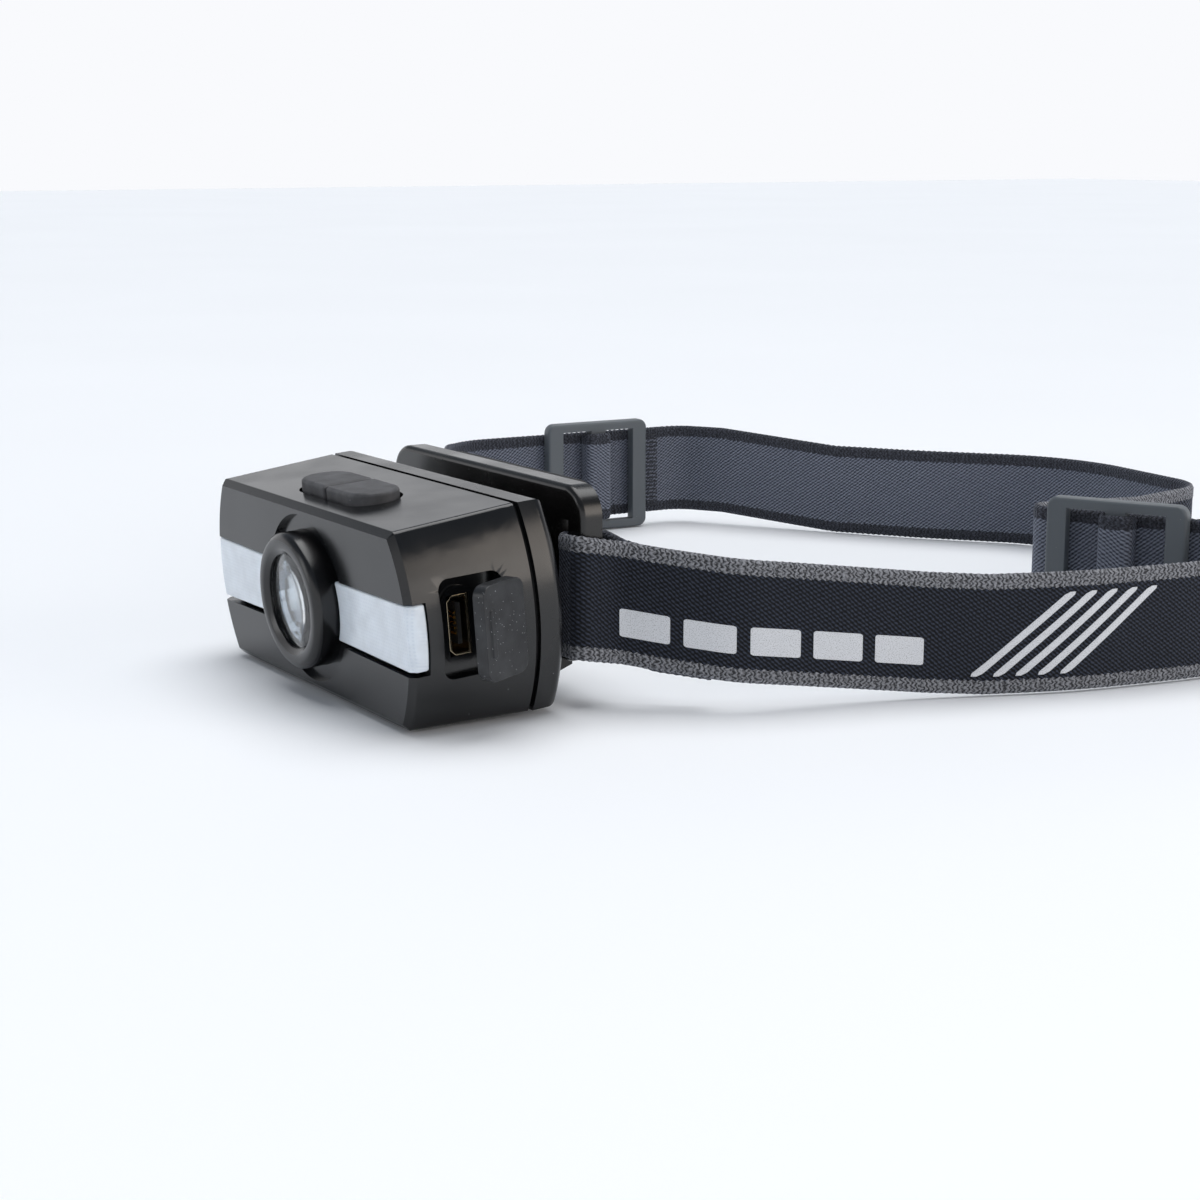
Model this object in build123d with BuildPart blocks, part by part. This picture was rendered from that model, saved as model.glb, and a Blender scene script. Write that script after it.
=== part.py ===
from build123d import *
from math import ceil, cos, radians, sin
import os

# Headlamp: a tilting lamp body on a bracket, worn on an elastic headband.
# Lamp pieces are drawn upright in the lamp's own frame: the middle of the front face is the
# origin, +X is the charging-port side, +Y runs to the rear and +Z is up. LAMP_PLACE then leans
# the lamp on its hinge. Bracket and band are drawn in the standing frame, with the table at z = 0.

# Lamp body
FACE_HALF_WIDTH = 25.2
FACE_BULGE = 3.65
FACE_HALF_HEIGHT = 12.33
SEAM_HALF_WIDTH = 25.55
SEAM_HALF_HEIGHT = 13.3
SEAM_Y = 17.0
SEAM_GAP = 0.7
COVER_REAR_Y = 21.5
HUMP_REAR_Y = 23.5
WALL = 1.6
EDGE_ROUND = 0.8
FRONT_CHAMFER = 0.8
LEAN_DEG = 4.25
FACE_CENTRE_Z = 12.54
FACE_Y = -0.6
# The lamp and bracket share a middle plane a little to the left of the band's origin
MIDDLE_X = -1.3

# Optics
DISH_R = 11.0
DISH_DEPTH = 0.8
BEZEL_R = 8.9
BEZEL_FRONT_Y = -2.9
BEZEL_REAR_Y = 2.2
LENS_R = 6.7
LENS_OPENING_R = 6.2
LENS_FRONT_Y = -2.1
LENS_REAR_Y = -0.6
SEAL_WIRE_R = 0.4
REFLECTOR_FRONT_Y = 0.3
REFLECTOR_REAR_Y = 7.6
REFLECTOR_MOUTH_R = 6.3
REFLECTOR_THROAT_R = 2.6
REFLECTOR_WALL = 0.6
STAR_BOARD_R = 6.8
STAR_BOARD_Y = 8.4
STAR_BOARD_THICK = 1.0

# Side windows
WINDOW_INNER_X = 9.3
WINDOW_TOP = 3.9
WINDOW_BOTTOM = -4.5
WINDOW_INNER_TOP = 3.6
WINDOW_INNER_BOTTOM = -4.1
WINDOW_WRAP_Y = 2.4
WINDOW_GAP = 0.12
WINDOW_SHADOW_GAP = 0.45

# Charging port, on the +X side
RECESS_Y = (4.4, 13.1)
RECESS_HALF_HEIGHT = 6.25
RECESS_FLOOR_X = 26.6
PORT_Y = 7.6
PORT_LENGTH = 7.5
PORT_THICK = 2.9
PORT_DEPTH = 5.2
PORT_WALL = 0.3
PORT_CORNER_CUT = 0.75
PORT_LEG_Z = 2.6
CONTACT_PITCH = 0.65
CONTACT_COUNT = 5
COVER_LENGTH = 7.4
COVER_HALF_HEIGHT = 5.9
COVER_THICK = 1.8
COVER_GRIP = (6.0, 0.8)
COVER_GRIP_RISE = 0.25
COVER_OPEN_DEG = 20.0
COVER_POLE = (26.0, 21.9)
TETHER_THICK = 0.7
TETHER_HALF_HEIGHT = 3.0

# Button pad on top
PAD_HALF_LENGTH = 9.8
PAD_WIDTH = 7.2
PAD_Y = 7.5
PAD_TOP_Z = 14.1
PAD_GROOVE = 0.6
KEY_UNDER_Z = 10.4
KEY_TRAVEL = 0.6
KEY_EDGE_ROUND = 0.5
STEM_R = 0.9
SWITCH_X = 5.2
SWITCH = (4.2, 3.2)
SWITCH_HEIGHT = 1.2
SWITCH_BOARD_Z = 7.2
SWITCH_BOARD_THICK = 0.8
SWITCH_BOARD_HALF_LENGTH = 10.0

# Boards and battery
MAIN_BOARD = (48.6, 19.0)
MAIN_BOARD_NOTCH = (5.3, 3.45)
MAIN_BOARD_Y = 10.2
MAIN_BOARD_THICK = 1.0
LEAD_R = 0.45
LEAD_LENGTH = 4.0
LEAD_X = -19.4
LEAD_Z = 1.2
SIDE_LED = (3.0, 2.8, 0.8)
SIDE_LED_X = (13.5, 18.0)
BATTERY = (36.0, 6.4, 18.0)
BATTERY_Y = 15.2
BOSS_X = 21.6
BOSS_Z = 9.0
BOSS_R = 2.2
SCREW_R = 0.8
SCREW_HEAD_R = 1.6
SCREW_HEAD_THICK = 1.0
SCREW_LENGTH = 10.5

# Hinge
PIN_Y = 24.6
PIN_Z = 5.2
PIN_R = 1.1
PIN_HALF_LENGTH = 18.2
KNUCKLE_R = 2.8
LUG_X = (9.6, 13.4)
ARM_X = (13.8, 18.2)
RUNNING_FIT = 0.05

# Bracket and brow pad
PLATE_HALF_WIDTH = 25.5
PLATE_Y = (25.2, 28.4)
PLATE_Z = (5.2, 28.0)
PLATE_CORNER_R = 4.0
SLOT_X = (19.7, 22.5)
SLOT_Z = (5.9, 23.6)
PAD_THICK = 1.2

# Headband
BAND_WIDTH = 16.0
BAND_THICK = 1.2
FOLD_STEP_DEG = 18.0
SLIDER_LENGTH = 20.5
SLIDER_HEIGHT = 20.0
SLIDER_BAR = 3.0
SLIDER_THICK = 2.0
SLIDER_GAP = 0.4
SLIDER_A_ALONG = Vector(0.055, 1.0, 0).normalized()
SLIDER_A_CENTRE = Vector(-88.0, 97.0, 0)
SLIDER_B_ALONG = Vector(0.89, 0.457, 0).normalized()
SLIDER_B_CENTRE = Vector(29.9, 113.3, 0)
LOOP_THICK = 0.9
LOOP_GAP = 0.1

BOSSES = [(x, z) for x in (-BOSS_X, BOSS_X) for z in (-BOSS_Z, BOSS_Z)]
LAMP_PLACE = Location((MIDDLE_X, FACE_Y, FACE_CENTRE_Z), (LEAN_DEG, 0, 0))
BRACKET_PLACE = Location((MIDDLE_X, 0, 0))
HOME = Location((0, 0, 0))
pieces = []


def keep(built, name, place=HOME):
    """Names a finished piece and stores it at its place in the standing frame."""
    solid = built.part.moved(place)
    solid.label = name
    pieces.append(solid)


def body_section(y, half_width, half_height, bulge):
    """Cross-section of the lamp body: flat top and bottom, sides that bow outwards."""
    with BuildSketch(Plane.XZ.offset(-y)) as section:
        with BuildLine():
            Line((-half_width, half_height), (half_width, half_height))
            ThreePointArc((half_width, half_height), (half_width + bulge, 0), (half_width, -half_height))
            Line((half_width, -half_height), (-half_width, -half_height))
            ThreePointArc((-half_width, -half_height), (-half_width - bulge, 0), (-half_width, half_height))
        make_face()
    return section.sketch


def size_at(y):
    """Half width and half height of the body at a depth, growing evenly from face to seam."""
    share = y / SEAM_Y
    half_width = FACE_HALF_WIDTH + (SEAM_HALF_WIDTH - FACE_HALF_WIDTH) * share
    half_height = FACE_HALF_HEIGHT + (SEAM_HALF_HEIGHT - FACE_HALF_HEIGHT) * share
    return half_width, half_height


def body_core(y_front, y_rear, inset):
    """Tapered body solid between two depths, its walls moved inwards by the inset."""
    ends = []
    for y in (y_front, y_rear):
        half_width, half_height = size_at(y)
        ends.append(body_section(y, half_width - inset, half_height - inset, FACE_BULGE))
    return loft(ends, mode=Mode.PRIVATE)


# Outer form of the front shell, with its edges broken
with BuildPart() as outer_form:
    add(body_core(0, SEAM_Y, 0))
    chamfer(outer_form.faces().sort_by(Axis.Y)[0].edges(), FRONT_CHAMFER)
    fillet(outer_form.edges().filter_by(lambda e: abs((e % 0.5).Y) > 0.9), EDGE_ROUND)


def window_slot(grow, wrap, shadow):
    """Block that cuts out a side window, or trims the window to fit inside the cut."""
    with BuildPart() as block:
        with BuildSketch(Plane.XZ.offset(1)):
            Polygon(
                (WINDOW_INNER_X - 3, WINDOW_INNER_TOP + grow),
                (FACE_HALF_WIDTH + 6, WINDOW_TOP + grow),
                (FACE_HALF_WIDTH + 6, WINDOW_BOTTOM - grow - shadow),
                (WINDOW_INNER_X - 3, WINDOW_INNER_BOTTOM - grow - shadow),
                align=None,
            )
        extrude(amount=-(1 + wrap))
        with BuildSketch(Plane.XZ.offset(2)):
            Circle(WINDOW_INNER_X - grow)
        extrude(amount=-(3 + wrap), mode=Mode.SUBTRACT)
    return block.part


# Front shell
with BuildPart() as front_shell:
    add(outer_form.part)
    add(body_core(WALL, SEAM_Y, WALL), mode=Mode.SUBTRACT)
    # Screw bosses at the four corners
    with BuildSketch(Plane.XZ.offset(-SEAM_Y + 3.5)):
        with Locations(*BOSSES):
            Circle(BOSS_R)
    extrude(until=Until.NEXT, dir=(0, -1, 0))
    # Pocket wall behind the port recess
    pocket_length = RECESS_Y[1] - RECESS_Y[0]
    pocket_y = (RECESS_Y[0] + RECESS_Y[1]) / 2
    with BuildSketch(Plane.YZ.offset(RECESS_FLOOR_X - WALL)):
        with Locations((pocket_y, 0)):
            Rectangle(pocket_length + 2 * 1.2, 2 * (RECESS_HALF_HEIGHT + 1.2))
    extrude(amount=2.6)
    # Dish round the bezel
    with BuildSketch(Plane.XZ):
        Circle(DISH_R)
    extrude(amount=-DISH_DEPTH, mode=Mode.SUBTRACT)
    with BuildSketch(Plane.XZ):
        Circle(BEZEL_R + 0.05)
    extrude(amount=-(WALL + 1), mode=Mode.SUBTRACT)
    # Port recess and the hole for the port's shell
    with BuildSketch(Plane.YZ.offset(RECESS_FLOOR_X)):
        with Locations((pocket_y, 0)):
            RectangleRounded(pocket_length, 2 * RECESS_HALF_HEIGHT, 1.5)
    extrude(amount=6, mode=Mode.SUBTRACT)
    with BuildSketch(Plane.YZ.offset(RECESS_FLOOR_X)):
        with Locations((PORT_Y, 0)):
            SlotOverall(PORT_LENGTH + 2.4, PORT_THICK + 1.7, rotation=90)
    extrude(amount=0.4)
    with BuildSketch(Plane.YZ.offset(RECESS_FLOOR_X + 1)):
        with Locations((PORT_Y, 0)):
            Rectangle(PORT_THICK + 0.1, PORT_LENGTH + 0.1)
    extrude(amount=-4, mode=Mode.SUBTRACT)
    # Opening for the button pad
    with BuildSketch(Plane.XY.offset(SEAM_HALF_HEIGHT + 1)):
        with Locations((0, PAD_Y)):
            SlotOverall(2 * PAD_HALF_LENGTH + 0.8, PAD_WIDTH + 0.8)
    extrude(amount=-4.6, mode=Mode.SUBTRACT)
    # Pilot holes for the cover screws
    with BuildSketch(Plane.XZ.offset(-SEAM_Y)):
        with Locations(*BOSSES):
            Circle(SCREW_R)
    extrude(amount=8, mode=Mode.SUBTRACT)
    # Side windows
    right_slot = window_slot(WINDOW_GAP, WINDOW_WRAP_Y + WINDOW_GAP, WINDOW_SHADOW_GAP)
    add(right_slot, mode=Mode.SUBTRACT)
    add(right_slot.mirror(Plane.YZ), mode=Mode.SUBTRACT)
keep(front_shell, "front_shell", LAMP_PLACE)

# Frosted side windows: the outer form's skin where the slots are
with BuildPart() as window_right:
    add(outer_form.part)
    add(body_core(WALL, SEAM_Y, WALL), mode=Mode.SUBTRACT)
    add(window_slot(0, WINDOW_WRAP_Y, 0), mode=Mode.INTERSECT)
keep(window_right, "window_right", LAMP_PLACE)
with BuildPart() as window_left:
    add(window_right.part.mirror(Plane.YZ))
keep(window_left, "window_left", LAMP_PLACE)

# Rear cover: rim, tapered back, locating lip, hinge lugs
COVER_FRONT_Y = SEAM_Y + SEAM_GAP
PIN_LOCAL = LAMP_PLACE.inverse() * Location((MIDDLE_X, PIN_Y, PIN_Z))
PIN_LY = PIN_LOCAL.position.Y
PIN_LZ = PIN_LOCAL.position.Z
with BuildPart() as cover_form:
    cover_ends = (COVER_FRONT_Y, COVER_REAR_Y)
    loft([body_section(y, SEAM_HALF_WIDTH, SEAM_HALF_HEIGHT, FACE_BULGE) for y in cover_ends])
    fillet(cover_form.faces().sort_by(Axis.Y)[-1].edges(), 1.6)
with BuildPart() as rear_cover:
    add(cover_form.part)
    # Tapered hump that makes room for the battery's wiring
    with BuildSketch(Plane.XZ.offset(-COVER_REAR_Y)):
        RectangleRounded(46, 21, 3)
    with BuildSketch(Plane.XZ.offset(-HUMP_REAR_Y)):
        with Locations((0, -1.0)):
            RectangleRounded(34, 13, 2)
    loft()
    add(body_core(COVER_FRONT_Y, COVER_REAR_Y - WALL, WALL), mode=Mode.SUBTRACT)
    # Lip that seats inside the front shell
    with BuildSketch(Plane.XZ.offset(-(COVER_FRONT_Y - 2.0))) as lip:
        add(body_section(0, SEAM_HALF_WIDTH - WALL - 0.15, SEAM_HALF_HEIGHT - WALL - 0.2, FACE_BULGE)
            .moved(Location((0, COVER_FRONT_Y - 2.0, 0))))
        add(body_section(0, SEAM_HALF_WIDTH - WALL - 1.2, SEAM_HALF_HEIGHT - WALL - 1.2, FACE_BULGE)
            .moved(Location((0, COVER_FRONT_Y - 2.0, 0))), mode=Mode.SUBTRACT)
    extrude(amount=-3.0)
    # Screw pillars, clear of the shell's bosses
    with BuildSketch(Plane.XZ.offset(-(SEAM_Y - 3.3))):
        with Locations(*BOSSES):
            Circle(BOSS_R + 0.3)
    extrude(amount=-(COVER_FRONT_Y - SEAM_Y + 3.3 - 0.2), mode=Mode.SUBTRACT)
    with BuildSketch(Plane.XZ.offset(-(SEAM_Y - 3.3))):
        with Locations(*BOSSES):
            Circle(BOSS_R - 0.1)
    extrude(amount=-(COVER_REAR_Y - SEAM_Y + 3.3 - 1.0))
    # Screw clearance holes with head counterbores
    with BuildSketch(Plane.XZ.offset(-(COVER_REAR_Y + 2))):
        with Locations(*BOSSES):
            Circle(SCREW_HEAD_R + 0.2)
    extrude(amount=2 + 1.2, mode=Mode.SUBTRACT)
    with BuildSketch(Plane.XZ.offset(-(COVER_REAR_Y + 2))):
        with Locations(*BOSSES):
            Circle(SCREW_R + 0.15)
    extrude(amount=12, mode=Mode.SUBTRACT)
    # Room for the bracket's arms beside the lugs
    arm_middle = (ARM_X[0] + ARM_X[1]) / 2
    with BuildSketch(Plane.XZ.offset(-(COVER_REAR_Y + 0.05))):
        with Locations((arm_middle, PIN_LZ + 2), (-arm_middle, PIN_LZ + 2)):
            Rectangle(ARM_X[1] - ARM_X[0] + 1.0, 15)
    extrude(amount=-4, mode=Mode.SUBTRACT)
    # Hinge lugs
    for side in (-1, 1):
        with BuildSketch(Plane.YZ.offset(side * LUG_X[0])):
            with Locations((PIN_LY, PIN_LZ)):
                Circle(KNUCKLE_R)
            Polygon((COVER_REAR_Y - 0.6, PIN_LZ - 1.6), (PIN_LY, PIN_LZ - KNUCKLE_R),
                    (PIN_LY, PIN_LZ + KNUCKLE_R), (COVER_REAR_Y - 0.6, PIN_LZ + 4.0), align=None)
        extrude(amount=side * (LUG_X[1] - LUG_X[0]))
    with BuildSketch(Plane.YZ.offset(-PIN_HALF_LENGTH)):
        with Locations((PIN_LY, PIN_LZ)):
            Circle(PIN_R)
    extrude(amount=2 * PIN_HALF_LENGTH, mode=Mode.SUBTRACT)
keep(rear_cover, "rear_cover", LAMP_PLACE)

# Seam gasket, set back in the groove between shell and cover
with BuildPart() as seam_gasket:
    with BuildSketch(Plane.XZ.offset(-SEAM_Y)):
        add(body_section(0, SEAM_HALF_WIDTH - 0.7, SEAM_HALF_HEIGHT - 0.7, FACE_BULGE)
            .moved(Location((0, SEAM_Y, 0))))
        add(body_section(0, SEAM_HALF_WIDTH - WALL, SEAM_HALF_HEIGHT - WALL, FACE_BULGE)
            .moved(Location((0, SEAM_Y, 0))), mode=Mode.SUBTRACT)
    extrude(amount=-SEAM_GAP)
keep(seam_gasket, "seam_gasket", LAMP_PLACE)

# Cover screws, one group
with BuildPart() as cover_screws:
    with BuildSketch(Plane.XZ.offset(-(COVER_REAR_Y - 0.2))):
        with Locations(*BOSSES):
            Circle(SCREW_HEAD_R)
    extrude(amount=SCREW_HEAD_THICK)
    with BuildSketch(Plane.XZ.offset(-(COVER_REAR_Y - 1.2))):
        with Locations(*BOSSES):
            Circle(SCREW_R)
    extrude(amount=SCREW_LENGTH)
keep(cover_screws, "cover_screws", LAMP_PLACE)


def turned(profile, name):
    """Revolves a closed outline of (radius, depth) points about the lens axis and keeps the piece."""
    with BuildPart() as ring:
        with BuildSketch(Plane.XY):
            Polygon(*profile, align=None)
        revolve(axis=Axis.Y)
    keep(ring, name, LAMP_PLACE)


# Bezel ring: outer tube with a front lip that holds the lens
turned([(LENS_OPENING_R, BEZEL_FRONT_Y + 0.5), (LENS_OPENING_R + 0.9, BEZEL_FRONT_Y),
        (BEZEL_R - 0.8, BEZEL_FRONT_Y), (BEZEL_R, BEZEL_FRONT_Y + 0.8), (BEZEL_R, BEZEL_REAR_Y),
        (LENS_R + 0.05, BEZEL_REAR_Y), (LENS_R + 0.05, LENS_FRONT_Y), (LENS_OPENING_R, LENS_FRONT_Y)],
       "bezel_ring")
# Front lens: flat face, slightly domed rear
turned([(0, LENS_FRONT_Y), (LENS_R, LENS_FRONT_Y), (LENS_R, LENS_REAR_Y), (LENS_R - 1.2, LENS_REAR_Y),
        (4.0, LENS_REAR_Y + 0.3), (0, LENS_REAR_Y + 0.4)], "front_lens")
# Reflector cup
turned([(REFLECTOR_MOUTH_R, REFLECTOR_FRONT_Y), (4.9, 4.0), (REFLECTOR_THROAT_R, REFLECTOR_REAR_Y),
        (REFLECTOR_THROAT_R - REFLECTOR_WALL, REFLECTOR_REAR_Y), (4.3, 4.0),
        (REFLECTOR_MOUTH_R - REFLECTOR_WALL, REFLECTOR_FRONT_Y)], "reflector")
# Star board that carries the spot LED and sheds its heat
turned([(0, STAR_BOARD_Y), (STAR_BOARD_R, STAR_BOARD_Y), (STAR_BOARD_R, STAR_BOARD_Y + STAR_BOARD_THICK),
        (0, STAR_BOARD_Y + STAR_BOARD_THICK)], "led_board")
# Spot LED with its dome
turned([(0, REFLECTOR_REAR_Y - 0.9), (0.9, REFLECTOR_REAR_Y - 0.6), (1.3, REFLECTOR_REAR_Y),
        (1.3, REFLECTOR_REAR_Y + 0.1), (1.7, REFLECTOR_REAR_Y + 0.1), (1.7, STAR_BOARD_Y), (0, STAR_BOARD_Y)],
       "spot_led")

# Lens seal: an O-ring between lens and bezel
with BuildPart() as lens_seal:
    with BuildSketch(Plane.XY):
        with Locations((LENS_R - SEAL_WIRE_R - 0.02, LENS_REAR_Y + SEAL_WIRE_R + 0.02)):
            Circle(SEAL_WIRE_R)
    revolve(axis=Axis.Y)
keep(lens_seal, "lens_seal", LAMP_PLACE)


def block(name, x, y, z):
    """Keeps a plain rectangular component given its low and high coordinate on each axis."""
    with BuildPart() as solid:
        with BuildSketch(Plane.XY.offset(z[0])):
            with Locations(((x[0] + x[1]) / 2, (y[0] + y[1]) / 2)):
                Rectangle(x[1] - x[0], y[1] - y[0])
        extrude(amount=z[1] - z[0])
    keep(solid, name, LAMP_PLACE)


# Main board, notched clear of the corner bosses
with BuildPart() as main_board:
    with BuildSketch(Plane.XZ.offset(-MAIN_BOARD_Y)):
        Rectangle(*MAIN_BOARD)
        with Locations(*[(x * MAIN_BOARD[0] / 2, z * MAIN_BOARD[1] / 2) for x in (-1, 1) for z in (-1, 1)]):
            Rectangle(2 * MAIN_BOARD_NOTCH[0], 2 * MAIN_BOARD_NOTCH[1], mode=Mode.SUBTRACT)
    extrude(amount=-MAIN_BOARD_THICK)
keep(main_board, "main_board", LAMP_PLACE)

# Battery cell: a pouch with rounded edges, and its two leads
with BuildPart() as battery_cell:
    with BuildSketch(Plane.XZ.offset(-(BATTERY_Y - BATTERY[1] / 2))):
        RectangleRounded(BATTERY[0], BATTERY[2], 1.5)
    extrude(amount=-BATTERY[1])
    fillet(battery_cell.edges().filter_by(Axis.Z), 1.2)
keep(battery_cell, "battery_cell", LAMP_PLACE)
with BuildPart() as battery_leads:
    for z in (-LEAD_Z, LEAD_Z):
        with BuildSketch(Plane.XZ.offset(-(MAIN_BOARD_Y + MAIN_BOARD_THICK))):
            with Locations((LEAD_X, z)):
                Circle(LEAD_R)
        extrude(amount=-LEAD_LENGTH)
keep(battery_leads, "battery_leads", LAMP_PLACE)

# Side LED pairs behind the windows
for side, name in ((1, "side_leds_right"), (-1, "side_leds_left")):
    with BuildPart() as led_pair:
        for x in SIDE_LED_X:
            with BuildSketch(Plane.XZ.offset(-(MAIN_BOARD_Y - SIDE_LED[2]))):
                with Locations((side * x, 0)):
                    Rectangle(SIDE_LED[0], SIDE_LED[1])
            extrude(amount=-SIDE_LED[2])
    keep(led_pair, name, LAMP_PLACE)

# Charging port: formed shell with mounting legs, tongue and contacts
port_front_x = RECESS_FLOOR_X + 0.3
with BuildPart() as usb_shell:
    half_l = PORT_LENGTH / 2
    half_t = PORT_THICK / 2
    cut = PORT_CORNER_CUT
    for grow, mode in ((0, Mode.ADD), (-PORT_WALL, Mode.SUBTRACT)):
        with BuildSketch(Plane.YZ.offset(port_front_x)):
            Polygon((PORT_Y + half_t + grow, half_l + grow), (PORT_Y + half_t + grow, -half_l - grow),
                    (PORT_Y - half_t + cut, -half_l - grow), (PORT_Y - half_t - grow, -half_l + cut),
                    (PORT_Y - half_t - grow, half_l - cut), (PORT_Y - half_t + cut, half_l + grow),
                    align=None)
        extrude(amount=-(PORT_DEPTH + grow), mode=mode)
    for z in (-PORT_LEG_Z, PORT_LEG_Z):
        with BuildSketch(Plane.XZ.offset(-MAIN_BOARD_Y)):
            with Locations((port_front_x - PORT_DEPTH + 1.2, z)):
                Rectangle(1.2, 0.6)
        extrude(amount=MAIN_BOARD_Y - PORT_Y - half_t)
keep(usb_shell, "usb_shell", LAMP_PLACE)
tongue_y = (PORT_Y + 0.15, PORT_Y + 0.75)
tongue_x = (port_front_x - PORT_DEPTH + PORT_WALL, port_front_x - 0.8)
block("usb_tongue", tongue_x, tongue_y, (-PORT_LEG_Z, PORT_LEG_Z))
with BuildPart() as usb_contacts:
    for i in range(CONTACT_COUNT):
        with BuildSketch(Plane.XZ.offset(-(tongue_y[0] - 0.12))):
            with Locations((port_front_x - 2.7, (i - (CONTACT_COUNT - 1) / 2) * CONTACT_PITCH)):
                Rectangle(3.0, 0.3)
        extrude(amount=-0.12)
keep(usb_contacts, "usb_contacts", LAMP_PLACE)

# Port cover, shown pulled out and swung open on its soft rubber tether. COVER_POLE is the one
# point about which the plate turns from closed in its recess to open.
cover_closed = Vector(RECESS_FLOOR_X + 0.5, pocket_y + 0.1, 0)
open_turn = radians(COVER_OPEN_DEG)
pole = Vector(*COVER_POLE, 0)
arm = cover_closed - pole
cover_middle = pole + Vector(
    arm.X * cos(open_turn) - arm.Y * sin(open_turn),
    arm.X * sin(open_turn) + arm.Y * cos(open_turn),
    0,
)
cover_face = Plane(
    origin=cover_middle,
    x_dir=(sin(open_turn), -cos(open_turn), 0),
    z_dir=(cos(open_turn), sin(open_turn), 0),
)
with BuildPart() as usb_cover:
    with BuildSketch(cover_face):
        RectangleRounded(COVER_LENGTH, 2 * COVER_HALF_HEIGHT, 1.5)
    extrude(amount=COVER_THICK)
    # Raised finger grip on the outer face
    with BuildSketch(cover_face.offset(COVER_THICK)):
        with Locations((COVER_LENGTH / 2 - 1.3, 0)):
            SlotOverall(*COVER_GRIP, rotation=90)
    extrude(amount=COVER_GRIP_RISE)
keep(usb_cover, "usb_cover", LAMP_PLACE)

# Tether: a thin strip from the recess floor to the back of the plate
tether_root = Vector(RECESS_FLOOR_X + 0.05, RECESS_Y[1] - 1.9, 0)
tether_tip = cover_middle - cover_face.x_dir * (COVER_LENGTH / 2 - 1.2) - cover_face.z_dir * 0.05
with BuildPart() as usb_cover_tether:
    with BuildSketch(Plane.XY.offset(-TETHER_HALF_HEIGHT)):
        across = Vector(0, TETHER_THICK / 2, 0)
        Polygon(*[(p.X, p.Y) for p in (tether_root - across, tether_tip - across,
                                       tether_tip + across, tether_root + across)], align=None)
    extrude(amount=2 * TETHER_HALF_HEIGHT)
    with BuildSketch(cover_face):
        Rectangle(COVER_LENGTH + 4, 2 * COVER_HALF_HEIGHT)
    extrude(amount=3, mode=Mode.SUBTRACT)
keep(usb_cover_tether, "usb_cover_tether", LAMP_PLACE)

# Button pad: two rubber keys in a frame, over two switches on their own small board
for side, name in ((1, "button_right"), (-1, "button_left")):
    with BuildPart() as key:
        with BuildSketch(Plane.XY.offset(KEY_UNDER_Z)):
            with Locations((0, PAD_Y)):
                SlotOverall(2 * PAD_HALF_LENGTH, PAD_WIDTH)
            with Locations((side * (PAD_GROOVE / 2 - PAD_HALF_LENGTH), PAD_Y)):
                Rectangle(2 * PAD_HALF_LENGTH, PAD_WIDTH + 2, mode=Mode.SUBTRACT)
        extrude(amount=PAD_TOP_Z - KEY_UNDER_Z)
        fillet(key.faces().sort_by(Axis.Z)[-1].edges(), KEY_EDGE_ROUND)
    keep(key, name, LAMP_PLACE)
switch_top = SWITCH_BOARD_Z + SWITCH_BOARD_THICK + SWITCH_HEIGHT
for side, name in ((1, "right"), (-1, "left")):
    with BuildPart() as stem:
        with BuildSketch(Plane.XY.offset(switch_top - KEY_TRAVEL)):
            with Locations((side * SWITCH_X, PAD_Y)):
                Circle(STEM_R)
        extrude(amount=KEY_UNDER_Z - switch_top + KEY_TRAVEL)
    keep(stem, f"switch_stem_{name}", LAMP_PLACE)
    with BuildPart() as switch:
        with BuildSketch(Plane.XY.offset(SWITCH_BOARD_Z + SWITCH_BOARD_THICK)):
            with Locations((side * SWITCH_X, PAD_Y)):
                RectangleRounded(*SWITCH, 0.4)
                Circle(STEM_R + RUNNING_FIT, mode=Mode.SUBTRACT)
        extrude(amount=SWITCH_HEIGHT)
    keep(switch, f"switch_{name}", LAMP_PLACE)
block(
    "switch_board",
    (-SWITCH_BOARD_HALF_LENGTH, SWITCH_BOARD_HALF_LENGTH),
    (PAD_Y - 2.4, MAIN_BOARD_Y),
    (SWITCH_BOARD_Z, SWITCH_BOARD_Z + SWITCH_BOARD_THICK),
)

# Hinge pin
with BuildPart() as hinge_pin:
    with BuildSketch(Plane.YZ.offset(-PIN_HALF_LENGTH)):
        with Locations((PIN_Y, PIN_Z)):
            Circle(PIN_R)
    extrude(amount=2 * PIN_HALF_LENGTH)
keep(hinge_pin, "hinge_pin", BRACKET_PLACE)

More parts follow.
